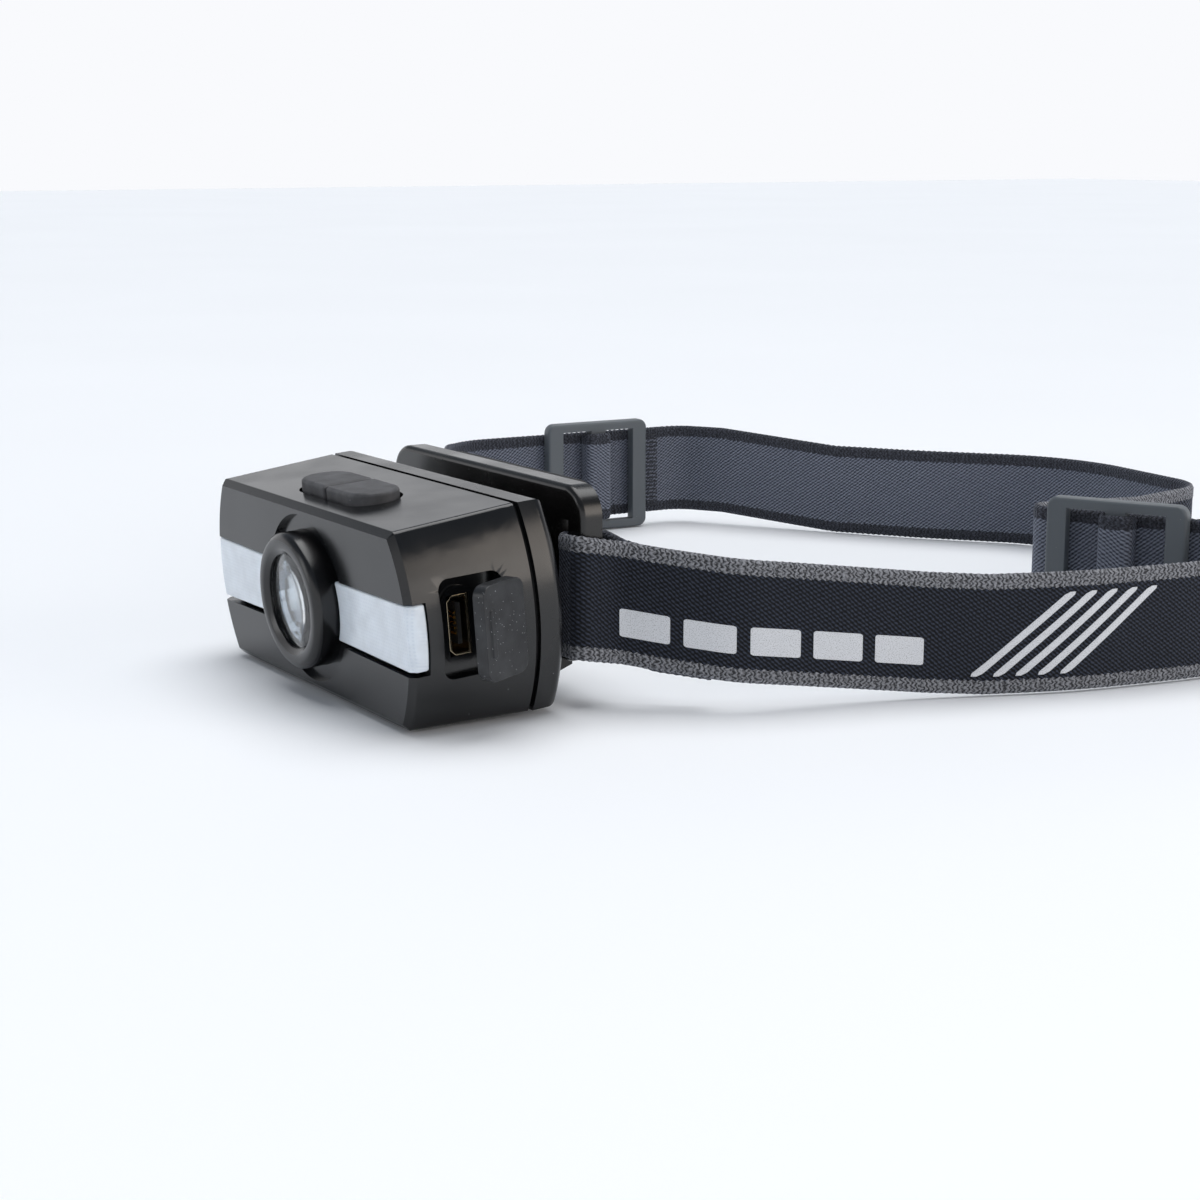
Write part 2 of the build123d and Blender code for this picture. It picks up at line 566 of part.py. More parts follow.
# Bracket: plate with strap slots and end bars, and two hinge arms
plate_middle_z = (PLATE_Z[0] + PLATE_Z[1]) / 2
slot_middle = ((SLOT_X[0] + SLOT_X[1]) / 2, (SLOT_Z[0] + SLOT_Z[1]) / 2)
with BuildPart() as bracket:
    with BuildSketch(Plane.XZ.offset(-PLATE_Y[0])):
        with Locations((0, plate_middle_z)):
            RectangleRounded(2 * PLATE_HALF_WIDTH, PLATE_Z[1] - PLATE_Z[0], PLATE_CORNER_R)
    extrude(amount=-(PLATE_Y[1] - PLATE_Y[0]))
    fillet(bracket.faces().sort_by(Axis.Y)[0].edges(), 0.8)
    with BuildSketch(Plane.XZ.offset(-PLATE_Y[0] + 1)):
        with Locations((slot_middle[0], slot_middle[1]), (-slot_middle[0], slot_middle[1])):
            Rectangle(SLOT_X[1] - SLOT_X[0], SLOT_Z[1] - SLOT_Z[0])
        # Notches that the lamp's lugs turn in
        with Locations(*[(side * (LUG_X[0] + LUG_X[1]) / 2, PLATE_Z[0]) for side in (-1, 1)]):
            Rectangle(LUG_X[1] - LUG_X[0] + 0.6, 8.0)
    extrude(amount=-(PLATE_Y[1] - PLATE_Y[0] + 2), mode=Mode.SUBTRACT)
    for side in (-1, 1):
        with BuildSketch(Plane.YZ.offset(side * ARM_X[0])):
            with Locations((PIN_Y, PIN_Z)):
                Circle(KNUCKLE_R)
            Polygon((PIN_Y, PIN_Z - KNUCKLE_R), (PLATE_Y[1], PIN_Z - 1.4), (PLATE_Y[1], PIN_Z + 6.5),
                    (PLATE_Y[0], PIN_Z + 6.5), (PIN_Y - 1.6, PIN_Z + 2.3), align=None)
        extrude(amount=side * (ARM_X[1] - ARM_X[0]))
    with BuildSketch(Plane.YZ.offset(-PIN_HALF_LENGTH - 1)):
        with Locations((PIN_Y, PIN_Z)):
            Circle(PIN_R + RUNNING_FIT)
    extrude(amount=2 * PIN_HALF_LENGTH + 2, mode=Mode.SUBTRACT)
keep(bracket, "bracket", BRACKET_PLACE)

# Brow pad: soft layer on the bracket's back, between the slots
with BuildPart() as brow_pad:
    with BuildSketch(Plane.XZ.offset(-PLATE_Y[1])):
        with Locations((0, plate_middle_z + 2.4)):
            RectangleRounded(2 * (SLOT_X[0] - 0.6), PLATE_Z[1] - PLATE_Z[0] - 6.0, 3.0)
    extrude(amount=-PAD_THICK)
keep(brow_pad, "brow_pad", BRACKET_PLACE)


def ribbon(route, radii, heights, name):
    """Band along a plan-view route of corners with radii. Heights are (share of length, bottom z)."""
    with BuildLine() as plan:
        FilletPolyline(*route, radius=radii)
    edges = plan.wires()[0].order_edges()
    total = sum(edge.length for edge in edges)
    stations = []
    travelled = 0.0
    for edge in edges:
        turn = (edge % 0).get_angle(edge % 1)
        steps = max(1, ceil(turn / FOLD_STEP_DEG))
        for i in range(steps):
            stations.append((edge @ (i / steps), edge % (i / steps), travelled + edge.length * i / steps))
        travelled += edge.length
    stations.append((edges[-1] @ 1, edges[-1] % 1, total))
    sections = []
    for point, direction, length in stations:
        middle_z = height_along(length / total, heights) + BAND_WIDTH / 2
        upright = Plane(origin=(point.X, point.Y, middle_z), x_dir=(0, 0, 1), z_dir=direction)
        with BuildSketch(upright) as section:
            Rectangle(BAND_WIDTH, BAND_THICK)
        sections.append(section.sketch)
    with BuildPart() as band:
        loft(sections, ruled=True)
    keep(band, name)
    print(name, "length", round(total, 1))


def height_along(share, heights):
    """Bottom height of the band at a share of its length."""
    for (s0, z0), (s1, z1) in zip(heights, heights[1:]):
        if share <= s1:
            return z0 + (z1 - z0) * (share - s0) / (s1 - s0)
    return heights[-1][1]


def on_line(centre, along, distance):
    """Plan point on a slider's straight stretch, at a distance past the slider's centre."""
    point = centre + along * distance
    return (point.X, point.Y)


JOIN_A = on_line(SLIDER_A_CENTRE, SLIDER_A_ALONG, 12.6)
JOIN_B = on_line(SLIDER_B_CENTRE, SLIDER_B_ALONG, 14.7)
TURN_A_FRONT = on_line(SLIDER_A_CENTRE, SLIDER_A_ALONG, -29.0)
TURN_A_REAR = on_line(SLIDER_A_CENTRE, SLIDER_A_ALONG, 19.0)
TURN_B_INNER = on_line(SLIDER_B_CENTRE, SLIDER_B_ALONG, -14.5)
TURN_B_OUTER = on_line(SLIDER_B_CENTRE, SLIDER_B_ALONG, 28.2)

# Headband, right run: from its sewn end, through the bracket's right slot, round the end bar,
# then back past the temple and round the fold that brings it in to slider B.
ribbon(
    [(32.5, 39.5), (25.0, 31.1), (20.3, 29.9), (20.3, 24.3), (25.1, 24.3), (25.3, 29.9), (35.4, 41.3),
     (43.0, 64.0), (51.2, 83.7), (55.0, 103.4), TURN_B_OUTER, JOIN_B],
    [2.0, 1.5, 1.5, 1.5, 4.0, 14.0, 60.0, 60.0, 60.0, 5.0],
    [(0, 3.9), (0.05, 4.9), (0.1, 6.4), (0.18, 6.2), (0.21, 5.4), (0.26, 4.4), (0.32, 3.4),
     (0.38, 2.5), (0.5, 0.6), (0.56, 0), (0.85, 0), (0.95, 2), (1, 2)],
    "band_right",
)
# Rear run: slider B, a tight turn, round the back of the head and up to slider A
ribbon(
    [JOIN_B, TURN_B_INNER, (8.0, 154.0), (-26.0, 158.5), (-47.0, 141.0), (-62.0, 131.0), TURN_A_REAR, JOIN_A],
    [3.0, 9.0, 30.0, 60.0, 60.0, 6.0],
    [(0, 2), (0.16, 2), (0.3, 0), (0.8, 0), (0.92, 2), (1, 2)],
    "band_rear",
)
# Left run: slider A, the far temple, then round the bracket's left end bar
ribbon(
    [JOIN_A, TURN_A_FRONT, (-58.0, 50.0), (-27.9, 29.9), (-27.7, 24.3), (-22.9, 24.3), (-22.9, 29.9),
     (-27.6, 31.1), (-34.5, 37.0)],
    [12.0, 60.0, 4.0, 1.5, 1.5, 1.5, 2.0],
    [(0, 2), (0.3, 2), (0.78, 6.4), (0.95, 6.4), (1, 5.8)],
    "band_left",
)


def slider(centre, along, name):
    """Three-bar slider on the inner face of a straight stretch of band, with the band's sewn loop."""
    inward = Vector(along.Y, -along.X)
    face = Plane(
        origin=centre + inward * (BAND_THICK / 2 + SLIDER_GAP) + Vector(0, 0, SLIDER_HEIGHT / 2),
        x_dir=along,
        z_dir=inward,
    )
    window = (SLIDER_LENGTH - 3 * SLIDER_BAR) / 2
    with BuildPart() as frame:
        with BuildSketch(face):
            RectangleRounded(SLIDER_LENGTH, SLIDER_HEIGHT, 1.6)
            with Locations(*[(side * (window + SLIDER_BAR) / 2, 0) for side in (-1, 1)]):
                Rectangle(window, BAND_WIDTH + 0.8, mode=Mode.SUBTRACT)
        extrude(amount=SLIDER_THICK)
        fillet(frame.faces().sort_by(Axis(centre, inward))[-1].outer_wire().edges(), 0.5)
    keep(frame, name)
    # Sewn loop over the middle bar
    plan = Plane(origin=face.origin - Vector(0, 0, BAND_WIDTH / 2), x_dir=along, z_dir=(0, 0, 1))
    side = 1 if plan.y_dir.dot(inward) > 0 else -1
    reach = SLIDER_BAR / 2 + LOOP_GAP
    depth = SLIDER_THICK + LOOP_GAP
    root = -0.05
    shoulder = depth + LOOP_THICK * 0.6
    with BuildPart() as sewn_loop:
        with BuildSketch(plan):
            Polygon(*[(x, side * y) for x, y in (
                (-reach - LOOP_THICK, root), (-reach - LOOP_THICK, shoulder),
                (-reach, depth + LOOP_THICK), (reach, depth + LOOP_THICK),
                (reach + LOOP_THICK, shoulder), (reach + LOOP_THICK, root),
                (reach, root), (reach, depth), (-reach, depth), (-reach, root))], align=None)
        extrude(amount=BAND_WIDTH)
    keep(sewn_loop, name.replace("slider", "band_loop"))


slider(SLIDER_A_CENTRE, SLIDER_A_ALONG, "slider_a")
slider(SLIDER_B_CENTRE, SLIDER_B_ALONG, "slider_b")

# The standing frame's origin is the middle of the whole headlamp's footprint, on the table
low = Vector(*[min(getattr(solid.bounding_box().min, axis) for solid in pieces) for axis in "XYZ"])
high = Vector(*[max(getattr(solid.bounding_box().max, axis) for solid in pieces) for axis in "XYZ"])
shift = Vector(-(low.X + high.X) / 2, -(low.Y + high.Y) / 2, -low.Z)
print("shift", shift, "size", high - low)
os.makedirs("parts", exist_ok=True)
for solid in pieces:
    placed = solid.moved(Location(shift))
    placed.label = solid.label
    export_step(placed, f"parts/{placed.label}.step")
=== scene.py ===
import math

import bpy
from mathutils import Matrix, Vector


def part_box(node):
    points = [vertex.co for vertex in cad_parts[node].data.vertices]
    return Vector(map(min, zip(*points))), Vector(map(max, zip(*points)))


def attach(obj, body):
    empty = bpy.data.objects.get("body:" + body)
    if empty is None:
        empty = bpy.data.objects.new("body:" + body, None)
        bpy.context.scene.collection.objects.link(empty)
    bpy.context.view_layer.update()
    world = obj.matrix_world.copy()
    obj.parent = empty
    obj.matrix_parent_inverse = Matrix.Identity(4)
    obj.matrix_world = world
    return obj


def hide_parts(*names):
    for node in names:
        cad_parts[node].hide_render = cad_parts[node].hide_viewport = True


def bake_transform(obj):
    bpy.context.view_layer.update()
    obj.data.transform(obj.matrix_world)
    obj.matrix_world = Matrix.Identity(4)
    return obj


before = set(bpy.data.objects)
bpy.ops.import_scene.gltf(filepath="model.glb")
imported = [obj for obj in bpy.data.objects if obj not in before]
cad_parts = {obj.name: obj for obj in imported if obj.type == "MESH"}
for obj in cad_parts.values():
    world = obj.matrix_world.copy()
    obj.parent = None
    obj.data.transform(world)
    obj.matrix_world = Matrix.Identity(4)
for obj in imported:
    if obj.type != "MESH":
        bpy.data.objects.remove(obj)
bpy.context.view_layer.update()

bl_info = {
    "name": "Headlamp builder",
    "version": (1, 0, 0),
    "blender": (4, 5, 0),
    "location": "3D View > Sidebar > Headlamp",
    "description": "Builds the visible pieces of a running headlamp around its mechanical frame",
    "category": "Object",
}

MM = 0.001


# ---------------------------------------------------------------- frame helpers

def middle(node):
    """Centre of a CAD node's box."""
    low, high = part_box(node)
    return (low + high) / 2


# The band's origin on the table, found from the bracket: the bracket's middle is a little to the
# left of it, and the back of the bracket's plate is this far behind it.
PLATE_BACK = 28.4 * MM
MIDDLE_X = -1.3 * MM
HOME = Vector((middle("bracket").x - MIDDLE_X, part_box("bracket")[1].y - PLATE_BACK, 0))
LEAN = math.radians(4.25)
# The lamp's own frame starts at the middle of its front face
LAMP = (
    Matrix.Translation(HOME + Vector((MIDDLE_X, -0.6 * MM, 12.54 * MM)))
    @ Matrix.Rotation(LEAN, 4, "X")
)


def lamp_point(x, y, z):
    """A point given in the lamp's own frame in millimetres, as a point of the scene."""
    return LAMP @ Vector((x * MM, y * MM, z * MM))


def home_point(x, y, z):
    """A point given from the band's origin in millimetres, as a point of the scene."""
    return HOME + Vector((x * MM, y * MM, z * MM))


# ---------------------------------------------------------------- mesh helpers

def deselect():
    if bpy.context.object and bpy.context.object.mode != "OBJECT":
        bpy.ops.object.mode_set(mode="OBJECT")
    bpy.ops.object.select_all(action="DESELECT")


def activate(piece):
    deselect()
    piece.select_set(True)
    bpy.context.view_layer.objects.active = piece


def settle(piece, name=None):
    """Moves a piece's place into its mesh, so its object sits at the origin."""
    activate(piece)
    bpy.ops.object.transform_apply(location=True, rotation=True, scale=True)
    if name:
        piece.name = name
        piece.data.name = name
    return piece


def finish_with(piece, kind, **settings):
    """Adds a modifier and applies it."""
    activate(piece)
    modifier = piece.modifiers.new(kind.title(), kind)
    for key, value in settings.items():
        setattr(modifier, key, value)
    bpy.ops.object.modifier_apply(modifier=modifier.name)
    return piece


def outward(piece):
    """Turns every face of a closed piece outwards."""
    activate(piece)
    bpy.ops.object.mode_set(mode="EDIT")
    bpy.ops.mesh.select_all(action="SELECT")
    bpy.ops.mesh.normals_make_consistent(inside=False)
    bpy.ops.object.mode_set(mode="OBJECT")
    return piece


def tube_faces(rings, count):
    """Faces that join rings of points into a closed tube, with a face over each end."""
    faces = []
    for first in range(0, (rings - 1) * count, count):
        for j in range(count):
            k = (j + 1) % count
            faces.append((first + j, first + count + j, first + count + k, first + k))
    last = (rings - 1) * count
    return faces + [tuple(range(count))[::-1], tuple(last + j for j in range(count))]


def smooth(piece, degrees=32):
    activate(piece)
    bpy.ops.object.shade_smooth_by_angle(angle=math.radians(degrees))
    return piece


def copied_from(node, name, edge=0.25, angle=30, segments=3):
    """A cleaned copy of a CAD node with its sharp edges rounded, as a moulded piece has them."""
    deselect()
    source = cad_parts[node]
    source.select_set(True)
    bpy.context.view_layer.objects.active = source
    bpy.ops.object.duplicate()
    piece = bpy.context.object
    for key in list(piece.keys()):
        del piece[key]
    place = piece.matrix_world.copy()
    piece.parent = None
    piece.matrix_world = place
    piece.name = name
    piece.data.name = name
    activate(piece)
    bpy.ops.object.mode_set(mode="EDIT")
    bpy.ops.mesh.select_all(action="SELECT")
    bpy.ops.mesh.remove_doubles(threshold=0.002 * MM)
    bpy.ops.mesh.customdata_custom_splitnormals_clear()
    bpy.ops.mesh.dissolve_limited(angle_limit=math.radians(0.6))
    bpy.ops.object.mode_set(mode="OBJECT")
    if edge:
        finish_with(piece, "BEVEL", width=edge * MM, segments=segments, limit_method="ANGLE",
                    angle_limit=math.radians(angle), use_clamp_overlap=True)
    smooth(piece)
    # Flat faces keep their own direction up to the rounded edges, so they shade flat
    return finish_with(piece, "WEIGHTED_NORMAL", mode="FACE_AREA", weight=50, keep_sharp=True)


def stand_in(piece, body, slot, *nodes):
    """The piece rides on a body and replaces CAD nodes; its slot argument is not used."""
    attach(piece, body)
    if nodes:
        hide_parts(*nodes)
    return piece


def mesh_piece(name, points, faces, uv=None, marks=None):
    """A mesh from points and faces, with UVs per point and a material index per face."""
    data = bpy.data.meshes.new(name)
    data.from_pydata(points, [], faces)
    if uv:
        layer = data.uv_layers.new(name="UVMap")
        for loop in data.loops:
            layer.data[loop.index].uv = uv[loop.vertex_index]
    if marks:
        data.polygons.foreach_set("material_index", marks)
    piece = bpy.data.objects.new(name, data)
    bpy.context.scene.collection.objects.link(piece)
    return piece


# ---------------------------------------------------------------- material helpers

def linear(code):
    """sRGB hex to a linear colour with alpha 1."""
    channels = [int(code[i:i + 2], 16) / 255 for i in (1, 3, 5)]
    return [c / 12.92 if c <= 0.04045 else ((c + 0.055) / 1.055) ** 2.4 for c in channels] + [1.0]


def put(tree, kind, inputs=None, stops=(), **settings):
    """Adds a node, sets its properties and colour stops, and gives each input a value or a link."""
    made = tree.nodes.new(kind)
    while len(stops) > 2 and len(made.color_ramp.elements) < len(stops):
        made.color_ramp.elements.new(0.5)
    for index, (position, colour) in enumerate(stops):
        made.color_ramp.elements[index].position = position
        made.color_ramp.elements[index].color = colour
    for key, value in settings.items():
        setattr(made, key, value)
    for key, value in (inputs or {}).items():
        if isinstance(value, bpy.types.NodeSocket):
            tree.links.new(value, made.inputs[key])
        else:
            made.inputs[key].default_value = value
    return made


def shader(name, **constants):
    """A new material with its Principled shader's constant sockets set."""
    material = bpy.data.materials.new(name)
    material.use_nodes = True
    surface = material.node_tree.nodes["Principled BSDF"]
    for key, value in constants.items():
        surface.inputs[key.replace("_", " ")].default_value = value
    return material, material.node_tree, surface


def per_mm(size):
    """Texture scale for a pattern whose grain is this many millimetres."""
    return 1 / (size * MM)


def dimmer(colour, share):
    """The colour with its light scaled, never above white."""
    return [min(1, channel * share) for channel in colour[:3]] + [1]


# ---------------------------------------------------------------- settings

def colour_setting(name, description, code):
    return bpy.props.FloatVectorProperty(
        name=name, description=description, subtype="COLOR", size=4, min=0, max=1,
        default=linear(code))


def length_setting(name, description, millimetres):
    return bpy.props.FloatProperty(
        name=name, description=description, default=millimetres * MM, unit="LENGTH", precision=5)


class HeadlampSizes(bpy.types.PropertyGroup):
    """Sizes a user would change."""
    band_thickness: length_setting("Band thickness", "Thickness of the knitted elastic", 1.15)
    picot_pitch: length_setting("Picot pitch", "Spacing of the loops along the band's edges", 1.0)
    picot_depth: length_setting("Picot depth", "How far the edge loops stand out", 0.16)
    edge_band: length_setting("Edge band", "Width of the grey stripe along each edge", 2.1)
    stripe_width: length_setting("Stripe width", "Width along the band of one slanted stripe", 1.45)
    stripe_pitch: length_setting("Stripe pitch", "Spacing of the slanted stripes", 3.05)
    print_height: length_setting("Print height", "Height of the reflective dashes", 3.6)
    shell_edge: length_setting("Shell edge", "Rounding of the shell's moulded edges", 0.3)
    lens_length: bpy.props.FloatProperty(
        name="Lens", description="Camera focal length in millimetres", default=66.0)
    view_turn: bpy.props.FloatProperty(
        name="View turn", description="Camera azimuth about the lamp", subtype="ANGLE",
        default=math.radians(57.68))
    view_drop: bpy.props.FloatProperty(
        name="View drop", description="How far the camera looks down", subtype="ANGLE",
        default=math.radians(11.74))
    view_distance: length_setting("View distance", "Camera to the point it looks at", 300.0)


class HeadlampColours(bpy.types.PropertyGroup):
    """Colours a user would change."""
    shell: colour_setting("Shell", "Moulded shell", "#0c0d0f")
    bracket: colour_setting("Bracket", "Bracket plate", "#0e0d0c")
    window: colour_setting("Windows", "Frosted side windows", "#dfe7ef")
    rubber: colour_setting("Keys", "Rubber keys", "#39393b")
    cover: colour_setting("Port cover", "Port cover rubber", "#202123")
    band_core: colour_setting("Band", "Face of the band", "#12141a")
    band_edge: colour_setting("Band edge", "Grey yarn of the band's edges", "#6d6e72")
    band_back: colour_setting("Band back", "Inner side of the band", "#626774")
    reflective: colour_setting("Reflective print", "Silver print on the band", "#d2d4d8")
    floor: colour_setting("Floor", "Pale table top", "#f4f6f9")


def sizes():
    return bpy.context.scene.headlamp_sizes


def colours():
    return bpy.context.scene.headlamp_colours


# ---------------------------------------------------------------- materials

def moulded_abs(name, colour, rough=0.36, grain=0.12, strength=0.12):
    """Injection-moulded black ABS with a fine spark-eroded satin: soft, slightly broken gloss."""
    material, tree, surface = shader(name, IOR=1.52, Specular_IOR_Level=0.5)
    place = put(tree, "ShaderNodeTexCoord").outputs["Object"]
    texture = put(tree, "ShaderNodeTexNoise", {
        "Vector": place, "Scale": per_mm(grain), "Detail": 3.0})
    cloud = put(tree, "ShaderNodeTexNoise", {"Vector": place, "Scale": per_mm(9.0), "Detail": 2.0})
    gloss = put(tree, "ShaderNodeMapRange", {
        "Value": cloud.outputs["Fac"], "From Min": 0.35, "From Max": 0.65,
        "To Min": rough - 0.03, "To Max": rough + 0.04})
    specks = put(tree, "ShaderNodeTexVoronoi", {"Vector": place, "Scale": per_mm(1.9)})
    dust = put(tree, "ShaderNodeMath", {
        0: specks.outputs["Distance"], 1: 0.032}, operation="LESS_THAN")
    tint = put(tree, "ShaderNodeMix", {
        "Factor": dust.outputs[0], "A": colour, "B": linear("#77797c")}, data_type="RGBA")
    bump = put(tree, "ShaderNodeBump", {
        "Height": texture.outputs["Fac"], "Strength": strength, "Distance": 0.02 * MM})
    tree.links.new(tint.outputs["Result"], surface.inputs["Base Color"])
    tree.links.new(gloss.outputs["Result"], surface.inputs["Roughness"])
    tree.links.new(bump.outputs["Normal"], surface.inputs["Normal"])
    return material


def polished_pc(name, code, rough=0.03):
    """Clear polycarbonate, injection-moulded and polished: sharp highlights, see-through."""
    material, tree, surface = shader(name, IOR=1.58, Transmission_Weight=1.0)
    place = put(tree, "ShaderNodeTexCoord").outputs["Object"]
    smear = put(tree, "ShaderNodeTexNoise", {"Vector": place, "Scale": per_mm(3.0), "Detail": 2.0})
    gloss = put(tree, "ShaderNodeMapRange", {
        "Value": smear.outputs["Fac"], "From Min": 0.4, "From Max": 0.7,
        "To Min": rough, "To Max": rough * 3})
    surface.inputs["Base Color"].default_value = linear(code)
    tree.links.new(gloss.outputs["Result"], surface.inputs["Roughness"])
    return material


def frosted_pc(name, colour):
    """Frosted polycarbonate light guide: milky, with a fine moulded dot grid under a glossy skin."""
    material, tree, surface = shader(
        name, IOR=1.58, Coat_Weight=0.6, Coat_Roughness=0.12, Subsurface_Weight=0.25,
        Subsurface_Radius=(0.8 * MM, 0.9 * MM, 1.0 * MM), Subsurface_Scale=1.0, Roughness=0.34)
    place = put(tree, "ShaderNodeTexCoord").outputs["Object"]
    grid = put(tree, "ShaderNodeMapping", {
        "Vector": place, "Rotation": (LEAN, 0, 0),
        "Scale": [per_mm(0.45)] * 3})
    cell = put(tree, "ShaderNodeVectorMath", {0: grid.outputs[0]}, operation="FRACTION")
    offset = put(tree, "ShaderNodeVectorMath", {
        0: cell.outputs[0], 1: (0.5, 0.5, 0.5)}, operation="SUBTRACT")
    flat = put(tree, "ShaderNodeVectorMath", {
        0: offset.outputs[0], 1: (1, 0, 1)}, operation="MULTIPLY")
    reach = put(tree, "ShaderNodeVectorMath", {0: flat.outputs[0]}, operation="LENGTH")
    dot = put(tree, "ShaderNodeMapRange", {
        "Value": reach.outputs["Value"], "From Min": 0.16, "From Max": 0.34, "To Min": 1.0, "To Max": 0.0})
    mottle = put(tree, "ShaderNodeTexNoise", {"Vector": place, "Scale": per_mm(2.4), "Detail": 3.0})
    shade = put(tree, "ShaderNodeValToRGB", {"Fac": mottle.outputs["Fac"]},
                stops=((0.3, dimmer(colour, 0.86)), (0.7, list(colour))))
    faint = put(tree, "ShaderNodeMath", {0: dot.outputs[0], 1: 0.16}, operation="MULTIPLY")
    dotted = put(tree, "ShaderNodeMix", {
        "Factor": faint.outputs[0], "A": shade.outputs["Color"], "B": linear("#9fb0c6")}, data_type="RGBA")
    bump = put(tree, "ShaderNodeBump", {
        "Height": dot.outputs[0], "Strength": 0.2, "Distance": 0.05 * MM})
    tree.links.new(dotted.outputs["Result"], surface.inputs["Base Color"])
    tree.links.new(bump.outputs["Normal"], surface.inputs["Normal"])
    return material


def silicone(name, colour, rough=0.5, dust_share=0.05, lint=0.9):
    """Moulded silicone rubber: dull skin that holds pale dust and lint."""
    material, tree, surface = shader(name, IOR=1.43, Specular_IOR_Level=0.45, Roughness=rough)
    place = put(tree, "ShaderNodeTexCoord").outputs["Object"]
    skin = put(tree, "ShaderNodeTexNoise", {"Vector": place, "Scale": per_mm(0.22), "Detail": 4.0})
    haze = put(tree, "ShaderNodeTexNoise", {"Vector": place, "Scale": per_mm(2.2), "Detail": 4.0})
    specks = put(tree, "ShaderNodeTexVoronoi", {"Vector": place, "Scale": per_mm(lint)})
    dust = put(tree, "ShaderNodeMath", {
        0: specks.outputs["Distance"], 1: dust_share}, operation="LESS_THAN")
    body = put(tree, "ShaderNodeValToRGB", {"Fac": haze.outputs["Fac"]},
               stops=((0.32, list(colour)), (0.72, dimmer(colour, 2.1))))
    tint = put(tree, "ShaderNodeMix", {
        "Factor": dust.outputs[0], "A": body.outputs["Color"], "B": linear("#a9abae")}, data_type="RGBA")
    bump = put(tree, "ShaderNodeBump", {
        "Height": skin.outputs["Fac"], "Strength": 0.35, "Distance": 0.04 * MM})
    tree.links.new(tint.outputs["Result"], surface.inputs["Base Color"])
    tree.links.new(bump.outputs["Normal"], surface.inputs["Normal"])
    return material


def metal(name, code, rough, grain=0.3):
    """Plain metal part: formed or machined, faintly uneven gloss."""
    material, tree, surface = shader(name, Metallic=1.0)
    place = put(tree, "ShaderNodeTexCoord").outputs["Object"]
    streak = put(tree, "ShaderNodeTexNoise", {"Vector": place, "Scale": per_mm(grain), "Detail": 3.0})
    gloss = put(tree, "ShaderNodeMapRange", {
        "Value": streak.outputs["Fac"], "To Min": rough * 0.7, "To Max": rough * 1.4})
    surface.inputs["Base Color"].default_value = linear(code)
    tree.links.new(gloss.outputs["Result"], surface.inputs["Roughness"])
    return material


def painted(name, code, second, size, rough):
    """Component body with a mottled two-tone skin: lacquered board, foil pouch, phosphor."""
    material, tree, surface = shader(name, Roughness=rough)
    place = put(tree, "ShaderNodeTexCoord").outputs["Object"]
    spots = put(tree, "ShaderNodeTexNoise", {"Vector": place, "Scale": per_mm(size), "Detail": 5.0})
    skin = put(tree, "ShaderNodeValToRGB", {"Fac": spots.outputs["Fac"]},
               stops=((0.42, linear(code)), (0.6, linear(second))))
    tree.links.new(skin.outputs["Color"], surface.inputs["Base Color"])
    return material


